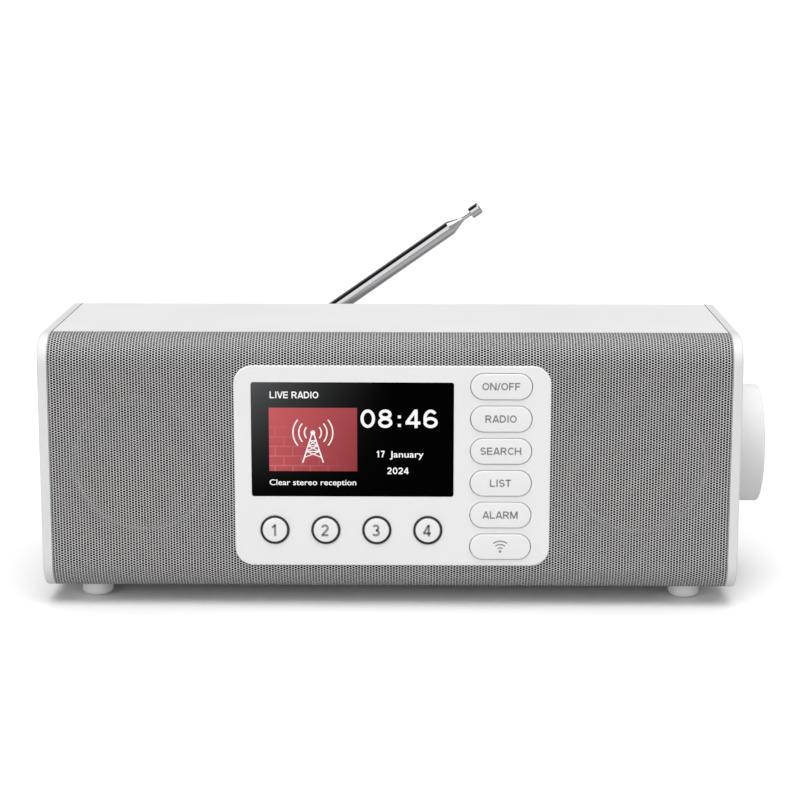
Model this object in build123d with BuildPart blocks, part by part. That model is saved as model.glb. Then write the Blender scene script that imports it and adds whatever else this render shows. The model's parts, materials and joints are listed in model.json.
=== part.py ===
"""Tabletop digital radio: a wide box cabinet with a perforated front, a control panel with a
display and ten push buttons, a push-and-turn knob on its right end and a telescopic antenna.

Frame: X runs along the width, Y from the front to the back, Z up from the table. The origin is
below the middle of the whole outline, knob and antenna included. All sizes are in millimetres.
"""

import os
from math import cos, radians, sin, tan

from build123d import *

os.makedirs("parts", exist_ok=True)

# ---- cabinet ----
cabinet_width = 300.0
cabinet_height = 111.2  # without the feet
cabinet_depth = 110.0
corner_radius = 12.0  # of the end view, front and back
panel_gap = 0.15  # shadow line between a cabinet panel and its neighbour
flush_gap = 0.3  # between static shells that lie inside one another
end_panel_thickness = 4.1
end_panel_edge_radius = 0.9
wrap_wall = 2.5
rear_wall = 4.5
grille_sheet = 0.8
grille_return = 15.9  # how far the grille runs back over the top and the bottom
baffle_wall = 2.5
foot_radius = 6.8
foot_height = 7.0
foot_edge_radius = 2.8
foot_inset_x = 20.5  # from the cabinet's end to a foot's centre
foot_inset_y = 21.0

# ---- control panel: its width and height follow from what it holds ----
panel_corner_radius = 8.0
panel_edge_radius = 0.5
panel_left_border = 7.45  # from the panel's left edge to the window
panel_top_border = 7.15  # from its top edge to the window
panel_right_border = 8.075  # from the pills to its right edge
panel_bottom_border = 9.5  # from the preset rings to its bottom edge
window_to_pills = 7.125
window_to_rings = 8.55
panel_offset_x = 1.2  # the panel's centre, right of the cabinet's
panel_drop = 55.5  # the panel's centre, below the cabinet's top
panel_proud = 1.2
panel_plate = 2.4
plug_margin = 0.7  # the panel's lip over its plug, all round
plug_wall = 1.1
plug_length = 8.5
window_width = 86.3
window_height = 49.6
window_corner_radius = 1.0
window_thickness = 1.0
module_margin = 5.0  # how far the window reaches past the display module's view
pill_width = 26.15
pill_height = 11.2
pill_top_border = 3.15  # from the panel's top edge to the first pill
pill_bottom_border = 2.95
preset_radius = 5.35
preset_ring_radius = 6.25
preset_ring_wall = 0.65
preset_ring_proud = 0.5
preset_pitch = 21.9
preset_shift = -0.6  # of the preset row's middle from the window's
button_proud = 1.0
button_gap = 0.25
button_travel = 0.5
button_edge_radius = 0.6
button_flange = 1.0  # thickness of the flange that keeps a button in
button_flange_lip = 0.8  # how far that flange reaches under the panel
stem_radius = 1.6
stem_gap = 0.15
switch_side = 6.0
switch_height = 3.5
switch_well = 1.4
circuit_board = 1.6
post_radius = 2.2  # of the panel's screw posts
post_from_wall = 2.9  # from the plug's wall to the left posts
post_from_window = 3.0  # from the window to the right posts
post_from_edge = 8.65  # from the panel's top and bottom edges

# ---- speakers ----
speaker_offset_x = 106.5
speaker_flange_radius = 36.0
speaker_opening_radius = 30.4
speaker_bowl_radius = 29.3
speaker_flange = 2.0
speaker_screw_circle = 33.5
screw_start_angle = 45.0
magnet_radius = 24.0
magnet_length = 12.5
magnet_edge_radius = 0.8
cone_radius = 25.5
coil_radius = 9.2

# ---- main board and sockets ----
board_length = 140.0
board_width = 49.0
board_offset_x = 10.0
board_rise = 15.2  # from the cabinet's floor to the board's underside
board_to_cover = 1.5
jack_radius = 1.8
jack_depth = 14.0
jack_collar_radius = 3.0
dc_bore_radius = 2.8
dc_pin_radius = 1.0
dc_collar_radius = 4.2
socket_rise = 6.0  # a socket's axis above the board
headphone_x = 60.0  # socket places, from the cabinet's centre
aux_x = 42.0
dc_x = -46.0

# ---- rear cover ----
cover_width = 210.0
cover_height = 58.0
cover_thickness = 2.2
cover_rise = 13.7  # from the cabinet's underside to the cover's lower edge
cover_corner_radius = 4.0
cover_ledge = 5.0
screw_radius = 1.2
screw_head_radius = 2.5
pilot_radius = 1.25

# ---- knob and encoder ----
knob_radius = 26.4
knob_reach = 15.0  # from the end panel to the knob's face
knob_back_gap = 0.8
knob_wall = 2.4
knob_edge_radius = 1.0
knob_y = 55.0  # from the front
knob_drop = 56.2  # from the top
knob_push = 0.5
shaft_radius = 3.0
shaft_clearance = 0.05
thread_radius = 3.5
encoder_side = 12.6
encoder_depth = 7.0

# ---- antenna ----
antenna_angle = 35.0  # above the horizontal, at rest
antenna_pivot_x = -64.0
antenna_pivot_drop = 29.9
antenna_standoff = 7.0  # mast's axis behind the cabinet's back
antenna_start = 7.0  # from the pivot to the first tube
tube_diameter = 6.9
tube_wall = 0.55
tube_clearance = 0.1
tube_end = 112.5
tube_step = 1.85
tube_taper = 1.8
rod_end = 122.7
cap_diameter = 5.5
cap_length = 5.3
cap_edge_radius = 0.6
knuckle_radius = 4.2
tongue_radius = 3.4
tongue_half = 2.0
ear_thickness = 1.9
pin_radius = 1.5
stem_of_swivel_radius = 3.5
bushing_flange = 1.2
bushing_radius = 5.9
bushing_edge_radius = 0.4
bushing_lip = 1.6  # the bushing's flange beyond its barrel
swivel_flange_lip = 1.8  # the swivel's flange and head beyond its stem
swivel_flange = 1.5

# ---- places that follow ----
knob_outer = cabinet_width / 2 + knob_reach
cabinet_x = (cabinet_width / 2 - knob_outer) / 2
left = cabinet_x - cabinet_width / 2
right = cabinet_x + cabinet_width / 2
foremost = panel_proud + button_proud
rearmost = antenna_standoff + knuckle_radius
front = -(cabinet_depth + rearmost - foremost) / 2
rear = front + cabinet_depth
bottom = foot_height
top = bottom + cabinet_height
middle_y = (front + rear) / 2
middle_z = (bottom + top) / 2
inner_left = left + end_panel_thickness
inner_right = right - end_panel_thickness
wrap_x = (inner_left + panel_gap, inner_right - panel_gap)
wrap_front = front + grille_return + panel_gap
floor_z = bottom + wrap_wall
ceiling_z = top - wrap_wall
panel_width = panel_left_border + window_width + window_to_pills + pill_width + panel_right_border
preset_ring_width = 2 * preset_ring_radius
panel_height = panel_top_border + window_height + window_to_rings + preset_ring_width + panel_bottom_border


def span(centre, size):
    """The low and high end of a size laid evenly about a centre."""
    return centre - size / 2, centre + size / 2


def block(x, y, z, mode=Mode.ADD):
    """A box between the low and high value given for each axis."""
    with Locations((sum(x) / 2, sum(y) / 2, sum(z) / 2)):
        Box(x[1] - x[0], y[1] - y[0], z[1] - z[0], mode=mode)


def at_depth(y):
    """A plane seen from the front: its X is the row's X and its Y is the row's Z."""
    return Plane.XZ.offset(-y)


def at_height(z):
    """A plane seen from above."""
    return Plane.XY.offset(z)


def rod(centre, radius, y, mode=Mode.ADD):
    """A round bar along Y about (x, z), from one depth to another."""
    with BuildSketch(at_depth(y[0])) as section:
        with Locations(centre):
            Circle(radius)
    extrude(section.sketch, amount=y[0] - y[1], mode=mode)


def axle(x, radius, y, z, mode=Mode.ADD):
    """A round bar along X about (y, z), from one place to another."""
    with BuildSketch(Plane.YZ.offset(x[0])) as section:
        with Locations((y, z)):
            Circle(radius)
    extrude(section.sketch, amount=x[1] - x[0], mode=mode)


def post(centre, radius, z, mode=Mode.ADD):
    """A round bar along Z about (x, y), from one height to another."""
    with BuildSketch(at_height(z[0])) as section:
        with Locations(centre):
            Circle(radius)
    extrude(section.sketch, amount=z[1] - z[0], mode=mode)


def band(x, outer, inner, y, mode=Mode.ADD):
    """The cabinet's rounded end view between two insets, cut to a stretch of depth, run along X."""
    with BuildSketch(Plane.YZ.offset(x[0])) as outline:
        with Locations((middle_y, middle_z)):
            for inset, step in ((outer, Mode.ADD), (inner, Mode.SUBTRACT)):
                RectangleRounded(
                    cabinet_depth - 2 * inset, cabinet_height - 2 * inset, corner_radius - inset, mode=step
                )
        with Locations((sum(y) / 2, middle_z)):
            Rectangle(y[1] - y[0], cabinet_height, mode=Mode.INTERSECT)
    extrude(outline.sketch, amount=x[1] - x[0], mode=mode)


def write(build, name):
    """Name a finished piece and write its STEP file."""
    build.part.label = name
    export_step(build.part, f"parts/{name}.step")


# ---- end panels ----
knob_centre_y = front + knob_y
knob_centre_z = top - knob_drop
rib_inset_front = 30.0
rib_inset_rear = 20.0
rib_y = (front + rib_inset_front, rear - rib_inset_rear)
rib_wall = 1.8
rib_length = 6.0

for name, face_x, inward in (("left_end_panel", left, 1), ("right_end_panel", right, -1)):
    inner_x = face_x + inward * end_panel_thickness
    with BuildPart() as end_panel:
        with BuildSketch(Plane.YZ.offset(face_x)):
            with Locations((middle_y, middle_z)):
                RectangleRounded(cabinet_depth, cabinet_height, corner_radius)
        extrude(amount=inward * end_panel_thickness)
        outer_face = end_panel.faces().sort_by(Axis.X)[0 if inward > 0 else -1]
        fillet(outer_face.edges(), end_panel_edge_radius)
        for rib_z in (ceiling_z - flush_gap - rib_wall, floor_z + flush_gap):
            rib_x = sorted((inner_x, inner_x + inward * rib_length))
            block(rib_x, rib_y, (rib_z, rib_z + rib_wall))
        if face_x == right:
            hole_radius = thread_radius + shaft_clearance
            axle((inner_x, right), hole_radius, knob_centre_y, knob_centre_z, Mode.SUBTRACT)
    write(end_panel, name)

# ---- feet ----
spigot_radius = 3.0
spigot_gap = 0.1
spigot_length = 2.4
foot_places = {
    "front_left_foot": (left + foot_inset_x, front + foot_inset_y),
    "front_right_foot": (right - foot_inset_x, front + foot_inset_y),
    "rear_left_foot": (left + foot_inset_x, rear - foot_inset_y),
    "rear_right_foot": (right - foot_inset_x, rear - foot_inset_y),
}
for name, place in foot_places.items():
    with BuildPart() as foot:
        post(place, foot_radius, (0, foot_height))
        fillet(foot.edges().group_by(Axis.Z)[0], foot_edge_radius)
        post(place, spigot_radius, (foot_height, foot_height + spigot_length))
    write(foot, name)

# ---- main board's place, which the wrap's bosses follow ----
board_x = span(cabinet_x + board_offset_x, board_length)
board_back = rear - rear_wall - board_to_cover
board_y = (board_back - board_width, board_back)
board_under = floor_z + board_rise
board_top = board_under + circuit_board
board_hole_inset = 5.0
boss_radius = 3.2
board_holes = [
    (x, y)
    for x in (board_x[0] + board_hole_inset, board_x[1] - board_hole_inset)
    for y in (board_y[0] + board_hole_inset, board_y[1] - board_hole_inset)
]
socket_z = board_top + socket_rise

# ---- rear cover's place, which the wrap's recess follows ----
cover_z = (bottom + cover_rise, bottom + cover_rise + cover_height)
cover_middle = (cabinet_x, sum(cover_z) / 2)
cover_front = rear - cover_thickness
screw_columns = 4
screw_rows = 2
screw_inset = 3.0
cover_screw_spacing = (
    (cover_width - 2 * screw_inset) / (screw_columns - 1),
    cover_height - 2 * screw_inset,
)

# ---- antenna's places ----
pivot_x = cabinet_x + antenna_pivot_x
pivot_z = top - antenna_pivot_drop
pivot_y = rear + antenna_standoff
along = (cos(radians(antenna_angle)), 0, sin(radians(antenna_angle)))
across = (-sin(radians(antenna_angle)), 0, cos(radians(antenna_angle)))
pivot = (pivot_x, pivot_y, pivot_z)
mast_plane = Plane(origin=pivot, x_dir=along, z_dir=(0, -1, 0))  # X along the mast, Y across it
tilt_plane = Plane(origin=pivot, x_dir=along, z_dir=across)  # X along the mast, Y to the back
bushing_gap = 0.1
rear_pad_margin = 12.0  # the thick part of the back, beyond the rear cover
rear_pad_x = span(cabinet_x, cover_width + 2 * rear_pad_margin)
rear_pad_z = (bottom + corner_radius, top - corner_radius)

# ---- wrap: top, back and bottom in one folded shell ----
with BuildPart() as cabinet_wrap:
    band(wrap_x, 0, wrap_wall, (wrap_front, rear))
    block(rear_pad_x, (rear - rear_wall, rear - wrap_wall / 2), rear_pad_z)
    with BuildSketch(at_depth(cover_front)):
        with Locations(cover_middle):
            recess = (cover_width + 2 * panel_gap, cover_height + 2 * panel_gap)
            RectangleRounded(*recess, cover_corner_radius + panel_gap)
    extrude(amount=-cover_thickness, mode=Mode.SUBTRACT)
    with BuildSketch(at_depth(rear - rear_wall)):
        with Locations(cover_middle):
            Rectangle(cover_width - 2 * cover_ledge - 2 * boss_radius, cover_height - 2 * cover_ledge)
    extrude(amount=-rear_wall, mode=Mode.SUBTRACT)
    with BuildSketch(at_depth(rear - rear_wall)):
        with Locations(cover_middle), GridLocations(*cover_screw_spacing, screw_columns, screw_rows):
            Circle(pilot_radius)
    extrude(amount=-rear_wall, mode=Mode.SUBTRACT)
    rod((pivot_x, pivot_z), bushing_radius + bushing_gap, (rear - rear_wall, rear), Mode.SUBTRACT)
    for place in foot_places.values():
        post(place, spigot_radius + spigot_gap, (bottom, floor_z), Mode.SUBTRACT)
    for hole in board_holes:
        post(hole, boss_radius, (floor_z, board_under))
        post(hole, pilot_radius, (floor_z, board_under), Mode.SUBTRACT)
write(cabinet_wrap, "cabinet_wrap")

# ---- grille ----
panel_x = cabinet_x + panel_offset_x
panel_z = top - panel_drop
plug_width = panel_width - 2 * plug_margin
plug_height = panel_height - 2 * plug_margin
plug_corner_radius = panel_corner_radius - plug_margin
opening_gap = 0.35  # between the plug and the edges of the grille and the baffle

with BuildPart() as grille:
    band(wrap_x, 0, grille_sheet, (front, front + grille_return))
    with BuildSketch(at_depth(front)):
        with Locations((panel_x, panel_z)):
            RectangleRounded(
                plug_width + 2 * opening_gap, plug_height + 2 * opening_gap, plug_corner_radius + opening_gap
            )
    extrude(amount=-grille_return, mode=Mode.SUBTRACT)
write(grille, "grille")

# ---- baffle: carries the speakers and the panel behind the grille ----
baffle_front = front + grille_sheet + flush_gap
baffle_back = baffle_front + baffle_wall
baffle_inset = grille_sheet + flush_gap
tongue_wall = 1.5
tongue_inset = wrap_wall + flush_gap
tongue_length = 14.0  # of the ledges that lie inside the wrap
baffle_x = (wrap_x[0] + flush_gap, wrap_x[1] - flush_gap)
tongue_y = (front + corner_radius, front + corner_radius + tongue_length)
speaker_z = middle_z
speaker_places = {"left": cabinet_x - speaker_offset_x, "right": cabinet_x + speaker_offset_x}
screws_per_speaker = 4

with BuildPart() as front_baffle:
    band(baffle_x, baffle_inset, baffle_inset + baffle_wall, (baffle_front, wrap_front - flush_gap))
    band(baffle_x, tongue_inset, tongue_inset + tongue_wall, tongue_y)
    with BuildSketch(at_depth(baffle_front)):
        with Locations((panel_x, panel_z)):
            RectangleRounded(
                plug_width + 2 * opening_gap, plug_height + 2 * opening_gap, plug_corner_radius + opening_gap
            )
        with Locations(*[(x, speaker_z) for x in speaker_places.values()]):
            Circle(speaker_opening_radius)
            with PolarLocations(speaker_screw_circle, screws_per_speaker, start_angle=screw_start_angle):
                Circle(pilot_radius)
    extrude(amount=-corner_radius, mode=Mode.SUBTRACT)
write(front_baffle, "front_baffle")

# ---- control panel ----
plate_front = front - panel_proud
plate_back = plate_front + panel_plate
plug_back = plate_back + plug_length
panel_left, panel_right = span(panel_x, panel_width)
panel_bottom, panel_top = span(panel_z, panel_height)
window_x = panel_left + panel_left_border + window_width / 2
window_z = panel_top - panel_top_border - window_height / 2
fit_gap = 0.1
view_width = window_width - 2 * module_margin
view_height = window_height - 2 * module_margin
pills = ["power_button", "radio_button", "search_button", "list_button", "alarm_button", "wireless_button"]
pill_x = panel_right - panel_right_border - pill_width / 2
pill_top_z = panel_top - pill_top_border - pill_height / 2
pill_pitch = (pill_top_z - panel_bottom - pill_bottom_border - pill_height / 2) / (len(pills) - 1)
pill_places = [(pill_x, pill_top_z - pill_pitch * i) for i in range(len(pills))]
preset_count = 4
preset_first_x = window_x + preset_shift - preset_pitch * (preset_count - 1) / 2
preset_z = panel_bottom + panel_bottom_border + preset_ring_radius
preset_places = [(preset_first_x + preset_pitch * i, preset_z) for i in range(preset_count)]
ring_inner_radius = preset_ring_radius - preset_ring_wall
ring_seat = 1.2  # depth of the counterbore that holds a ring
board_gap = 0.3
front_board_y = plug_back - circuit_board
left_posts_x = panel_left + plug_margin + plug_wall + post_from_wall
right_posts_x = window_x + window_width / 2 + post_from_window
posts_z = (panel_bottom + post_from_edge, panel_top - post_from_edge)
front_board_holes = [(x, z) for x in (left_posts_x, right_posts_x) for z in posts_z]

with BuildPart() as control_panel:
    with BuildSketch(at_depth(plate_front)):
        with Locations((panel_x, panel_z)):
            RectangleRounded(panel_width, panel_height, panel_corner_radius)
    extrude(amount=-panel_proud)
    fillet(control_panel.faces().sort_by(Axis.Y)[0].edges(), panel_edge_radius)
    with BuildSketch(at_depth(front)):
        with Locations((panel_x, panel_z)):
            RectangleRounded(plug_width, plug_height, plug_corner_radius)
    extrude(amount=front - plug_back)
    with BuildSketch(at_depth(plate_back)):
        with Locations((panel_x, panel_z)):
            RectangleRounded(
                plug_width - 2 * plug_wall, plug_height - 2 * plug_wall, plug_corner_radius - plug_wall
            )
    extrude(amount=plate_back - plug_back, mode=Mode.SUBTRACT)
    for place in front_board_holes:
        rod(place, post_radius, (plate_back, front_board_y))
        rod(place, pilot_radius, (plate_back, front_board_y), Mode.SUBTRACT)
    with BuildSketch(at_depth(plate_front)):
        with Locations((window_x, window_z)):
            RectangleRounded(
                window_width + 2 * fit_gap, window_height + 2 * fit_gap, window_corner_radius + fit_gap
            )
    extrude(amount=-window_thickness, mode=Mode.SUBTRACT)
    with BuildSketch(at_depth(plate_front)):
        with Locations((window_x, window_z)):
            Rectangle(view_width, view_height)
        with Locations(*pill_places):
            SlotOverall(pill_width + 2 * button_gap, pill_height + 2 * button_gap)
        with Locations(*preset_places):
            Circle(preset_radius + button_gap)
    extrude(amount=-panel_plate, mode=Mode.SUBTRACT)
    for place in preset_places:
        rod(place, preset_ring_radius + fit_gap / 2, (plate_front, plate_front + ring_seat), Mode.SUBTRACT)
write(control_panel, "control_panel")

with BuildPart() as preset_rings:
    for place in preset_places:
        ring_y = (plate_front - preset_ring_proud, plate_front + ring_seat)
        rod(place, preset_ring_radius, ring_y)
        rod(place, ring_inner_radius, ring_y, Mode.SUBTRACT)
write(preset_rings, "preset_rings")

with BuildPart() as display_window:
    with BuildSketch(at_depth(plate_front)):
        with Locations((window_x, window_z)):
            RectangleRounded(window_width, window_height, window_corner_radius)
    extrude(amount=-window_thickness)
write(display_window, "display_window")

module_rim = 1.5  # the display module's frame, wider than its view all round
glass_step = 0.9  # the module's glass stands this far into the panel's opening
with BuildPart() as display_module:
    view_x = span(window_x, view_width + 2 * module_rim)
    view_z = span(window_z, view_height + 2 * module_rim)
    block(view_x, (plate_back + fit_gap, front_board_y), view_z)
    glass_x = span(window_x, view_width - 2 * fit_gap)
    glass_z = span(window_z, view_height - 2 * fit_gap)
    block(glass_x, (plate_back - glass_step, plate_back + fit_gap), glass_z)
write(display_module, "display_module")

# ---- buttons: each is one moulding with its flange and stem ----
flange_y = (plate_back + fit_gap, plate_back + fit_gap + button_flange)
switch_front = front_board_y - switch_height
stem_entry = 0.3  # how far a stem reaches into its switch at rest
stem_end = switch_front + stem_entry
cap_y = (plate_front - button_proud, flange_y[0])

for name, place in zip(pills, pill_places):
    with BuildPart() as button:
        with BuildSketch(at_depth(cap_y[0])):
            with Locations(place):
                SlotOverall(pill_width, pill_height)
        extrude(amount=cap_y[0] - cap_y[1])
        fillet(button.faces().sort_by(Axis.Y)[0].edges(), button_edge_radius)
        with BuildSketch(at_depth(flange_y[0])):
            with Locations(place):
                SlotOverall(pill_width + 2 * button_flange_lip, pill_height + 2 * button_flange_lip)
        extrude(amount=-button_flange)
        rod(place, stem_radius, (flange_y[1], stem_end))
    write(button, name)

for number, place in enumerate(preset_places, start=1):
    with BuildPart() as button:
        rod(place, preset_radius, cap_y)
        fillet(button.faces().sort_by(Axis.Y)[0].edges(), button_edge_radius)
        rod(place, preset_radius + button_flange_lip, flange_y)
        rod(place, stem_radius, (flange_y[1], stem_end))
    write(button, f"preset_button_{number}")

with BuildPart() as tact_switches:
    for place in pill_places + preset_places:
        switch_x = span(place[0], switch_side)
        switch_z = span(place[1], switch_side)
        block(switch_x, (switch_front, front_board_y), switch_z)
        rod(place, stem_radius + stem_gap, (switch_front, switch_front + switch_well), Mode.SUBTRACT)
write(tact_switches, "tact_switches")

front_board_width = plug_width - 2 * plug_wall - 2 * board_gap
front_board_height = plug_height - 2 * plug_wall - 2 * board_gap
screw_clear_radius = 1.6
with BuildPart() as button_board:
    with BuildSketch(at_depth(front_board_y)):
        with Locations((panel_x, panel_z)):
            RectangleRounded(front_board_width, front_board_height, plug_corner_radius - plug_wall)
        with Locations(*front_board_holes):
            Circle(screw_clear_radius, mode=Mode.SUBTRACT)
    extrude(amount=-circuit_board)
write(button_board, "button_board")

# ---- speakers ----
bowl_wall = 1.1
flange_back = baffle_back + speaker_flange
bowl_straight = flange_back + 4.4  # where the bowl starts to narrow
bowl_back = flange_back + 17.9
bowl_window_share = 0.7  # of the bowl's radius that its openings take
bowl_ring = 3.0  # the bowl's floor around the coil
bowl_neck_radius = 20.2
coil_wall = 0.6
coil_end = bowl_back + 5.5
coil_gap = 0.3
magnet_floor = 3.0
cone_rim_y = flange_back + 0.8
cone_neck_y = flange_back + 11.4
paper = 0.7
dome_rise = 3.5  # of the dust cap in the cone's neck
surround_gap = 0.3
roll_radius = (speaker_bowl_radius - surround_gap - cone_radius) / 2
roll_sheet = 0.5

for side, speaker_x in speaker_places.items():
    profile_plane = Plane(origin=(speaker_x, 0, speaker_z), x_dir=(1, 0, 0), z_dir=(0, 0, 1))
    speaker_axis = Axis((speaker_x, 0, speaker_z), (0, 1, 0))

    with BuildPart() as speaker_frame:
        with BuildSketch(profile_plane):
            with BuildLine():
                Polyline(
                    (speaker_bowl_radius, baffle_back),
                    (speaker_flange_radius, baffle_back),
                    (speaker_flange_radius, flange_back),
                    (speaker_bowl_radius + bowl_wall, flange_back),
                    (speaker_bowl_radius + bowl_wall, bowl_straight),
                    (bowl_neck_radius, bowl_back),
                    (coil_radius + bowl_ring, bowl_back),
                    (coil_radius + bowl_ring, bowl_back - bowl_wall),
                    (bowl_neck_radius - bowl_wall, bowl_back - bowl_wall),
                    (speaker_bowl_radius, bowl_straight),
                    close=True,
                )
            make_face()
        revolve(axis=speaker_axis)
        window_y = (bowl_straight + 1.0, bowl_back - 2.5)
        across_bowl = 2 * speaker_flange_radius
        opening = speaker_bowl_radius * bowl_window_share
        block(span(speaker_x, across_bowl), window_y, span(speaker_z, opening), Mode.SUBTRACT)
        block(span(speaker_x, opening), window_y, span(speaker_z, across_bowl), Mode.SUBTRACT)
        with BuildSketch(at_depth(baffle_back)):
            with Locations((speaker_x, speaker_z)):
                with PolarLocations(speaker_screw_circle, screws_per_speaker, start_angle=screw_start_angle):
                    Circle(screw_radius + fit_gap)
        extrude(amount=-speaker_flange, mode=Mode.SUBTRACT)
    write(speaker_frame, f"{side}_speaker_frame")

    with BuildPart() as speaker_magnet:
        magnet_end = bowl_back + magnet_length
        rod((speaker_x, speaker_z), magnet_radius, (bowl_back, magnet_end))
        fillet(speaker_magnet.edges().filter_by(GeomType.CIRCLE), magnet_edge_radius)
        gap_y = (bowl_back, magnet_end - magnet_floor)
        with BuildSketch(at_depth(bowl_back)):
            with Locations((speaker_x, speaker_z)):
                Circle(coil_radius + coil_wall / 2 + coil_gap)
                Circle(coil_radius - coil_wall / 2 - coil_gap, mode=Mode.SUBTRACT)
        extrude(amount=gap_y[0] - gap_y[1], mode=Mode.SUBTRACT)
    write(speaker_magnet, f"{side}_speaker_magnet")

    outside = coil_radius + coil_wall / 2
    inside = coil_radius - coil_wall / 2
    dome_y = cone_neck_y - dome_rise
    with BuildPart() as speaker_cone:
        with BuildSketch(profile_plane):
            with BuildLine():
                Polyline(
                    (0, dome_y),
                    (coil_radius * 0.5, dome_y + 0.25 * dome_rise),
                    (outside, cone_neck_y),
                    (cone_radius, cone_rim_y),
                    (cone_radius, cone_rim_y + paper),
                    (outside, cone_neck_y + 1.5 * paper),
                    (outside, coil_end),
                    (inside, coil_end),
                    (inside, cone_neck_y + 1.5 * paper),
                    (coil_radius * 0.5, dome_y + 0.25 * dome_rise + 1.2 * paper),
                    (0, dome_y + paper),
                    close=True,
                )
            make_face()
        revolve(axis=speaker_axis)
    write(speaker_cone, f"{side}_speaker_cone")

    with BuildPart() as speaker_surround:
        roll_r = cone_radius + roll_radius
        with BuildSketch(profile_plane):
            with Locations((roll_r, cone_rim_y + paper)):
                Circle(roll_radius)
                Circle(roll_radius - roll_sheet, mode=Mode.SUBTRACT)
            with Locations((roll_r, cone_rim_y + paper - roll_radius / 2)):
                Rectangle(2 * roll_radius, roll_radius, mode=Mode.INTERSECT)
        revolve(axis=speaker_axis)
    write(speaker_surround, f"{side}_speaker_surround")

# ---- screws ----
head_height = 1.6
speaker_screw_head_radius = 2.25
with BuildPart() as speaker_screws:
    with BuildSketch(at_depth(baffle_front + fit_gap)):
        for speaker_x in speaker_places.values():
            with Locations((speaker_x, speaker_z)):
                with PolarLocations(speaker_screw_circle, screws_per_speaker, start_angle=screw_start_angle):
                    Circle(screw_radius)
    extrude(amount=baffle_front + fit_gap - flange_back)
    with BuildSketch(at_depth(flange_back)):
        for speaker_x in speaker_places.values():
            with Locations((speaker_x, speaker_z)):
                with PolarLocations(speaker_screw_circle, screws_per_speaker, start_angle=screw_start_angle):
                    Circle(speaker_screw_head_radius)
    extrude(amount=-head_height)
write(speaker_screws, "speaker_screws")

board_screw_length = 6.5
with BuildPart() as board_screws:
    for hole in board_holes:
        post(hole, screw_radius, (board_top - board_screw_length, board_top))
        post(hole, screw_head_radius, (board_top, board_top + head_height))
    for place in front_board_holes:
        rod(place, screw_radius, (plug_back - board_screw_length, plug_back))
        rod(place, screw_head_radius, (plug_back, plug_back + head_height))
write(board_screws, "board_screws")

# ---- rear cover ----
vent_count = 7
vent_pitch = 8.0
vent_width = 3.0
vent_length = 30.0
vent_offset = (70.0, 4.0)
label_width = 60.0
label_height = 30.0
label_depth = 0.4
label_corner_radius = 1.5
label_offset_x = -10.0
label_offset_z = 6.0
collar_gap = 0.3

with BuildPart() as rear_cover:
    with BuildSketch(at_depth(cover_front)):
        with Locations(cover_middle):
            RectangleRounded(cover_width, cover_height, cover_corner_radius)
        for vent_x in (-vent_offset[0], vent_offset[0]):
            with Locations((cover_middle[0] + vent_x, cover_middle[1] + vent_offset[1])):
                with GridLocations(vent_pitch, 1, vent_count, 1):
                    SlotOverall(vent_length, vent_width, rotation=90, mode=Mode.SUBTRACT)
        with Locations((cabinet_x + headphone_x, socket_z), (cabinet_x + aux_x, socket_z)):
            Circle(jack_collar_radius + collar_gap, mode=Mode.SUBTRACT)
        with Locations((cabinet_x + dc_x, socket_z)):
            Circle(dc_collar_radius + collar_gap, mode=Mode.SUBTRACT)
    extrude(amount=-cover_thickness)
    with BuildSketch(at_depth(rear - label_depth)):
        with Locations((cover_middle[0] + label_offset_x, cover_middle[1] + label_offset_z)):
            RectangleRounded(label_width, label_height, label_corner_radius)
    extrude(amount=-label_depth, mode=Mode.SUBTRACT)
    with BuildSketch(at_depth(rear)):
        with Locations(cover_middle), GridLocations(*cover_screw_spacing, screw_columns, screw_rows):
            Circle(screw_head_radius + fit_gap)
    extrude(amount=head_height, mode=Mode.SUBTRACT)
    with BuildSketch(at_depth(rear)):
        with Locations(cover_middle), GridLocations(*cover_screw_spacing, screw_columns, screw_rows):
            Circle(screw_radius + fit_gap)
    extrude(amount=cover_thickness, mode=Mode.SUBTRACT)
write(rear_cover, "rear_cover")

slot_size = 0.7  # of the cross in a screw's head
slot_length = 3.25
with BuildPart() as cover_screws:
    with BuildSketch(at_depth(rear)):
        with Locations(cover_middle), GridLocations(*cover_screw_spacing, screw_columns, screw_rows):
            Circle(screw_head_radius)
    extrude(amount=head_height)
    with BuildSketch(at_depth(rear - head_height)):
        with Locations(cover_middle), GridLocations(*cover_screw_spacing, screw_columns, screw_rows):
            Circle(screw_radius)
    extrude(amount=rear_wall - head_height - fit_gap)
    with BuildSketch(at_depth(rear)):
        with Locations(cover_middle), GridLocations(*cover_screw_spacing, screw_columns, screw_rows):
            Rectangle(slot_length, slot_size)
            Rectangle(slot_size, slot_length)
    extrude(amount=slot_size, mode=Mode.SUBTRACT)
write(cover_screws, "cover_screws")

# ---- main board and what it carries ----
with BuildPart() as main_board:
    block(board_x, board_y, (board_under, board_top))
    for hole in board_holes:
        post(hole, screw_clear_radius, (board_under, board_top), Mode.SUBTRACT)
write(main_board, "main_board")

can_corner = (12.0, 4.0)  # from the board's front left corner
can_size = (38.0, 26.0, 6.5)
can_corner_radius = 1.5
can_edge_radius = 0.6
can_x = (board_x[0] + can_corner[0], board_x[0] + can_corner[0] + can_size[0])
can_y = (board_y[0] + can_corner[1], board_y[0] + can_corner[1] + can_size[1])
with BuildPart() as tuner_can:
    block(can_x, can_y, (board_top, board_top + can_size[2]))
    fillet(tuner_can.edges().filter_by(Axis.Z), can_corner_radius)
    fillet(tuner_can.faces().sort_by(Axis.Z)[-1].edges(), can_edge_radius)
write(tuner_can, "tuner_can")

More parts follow.
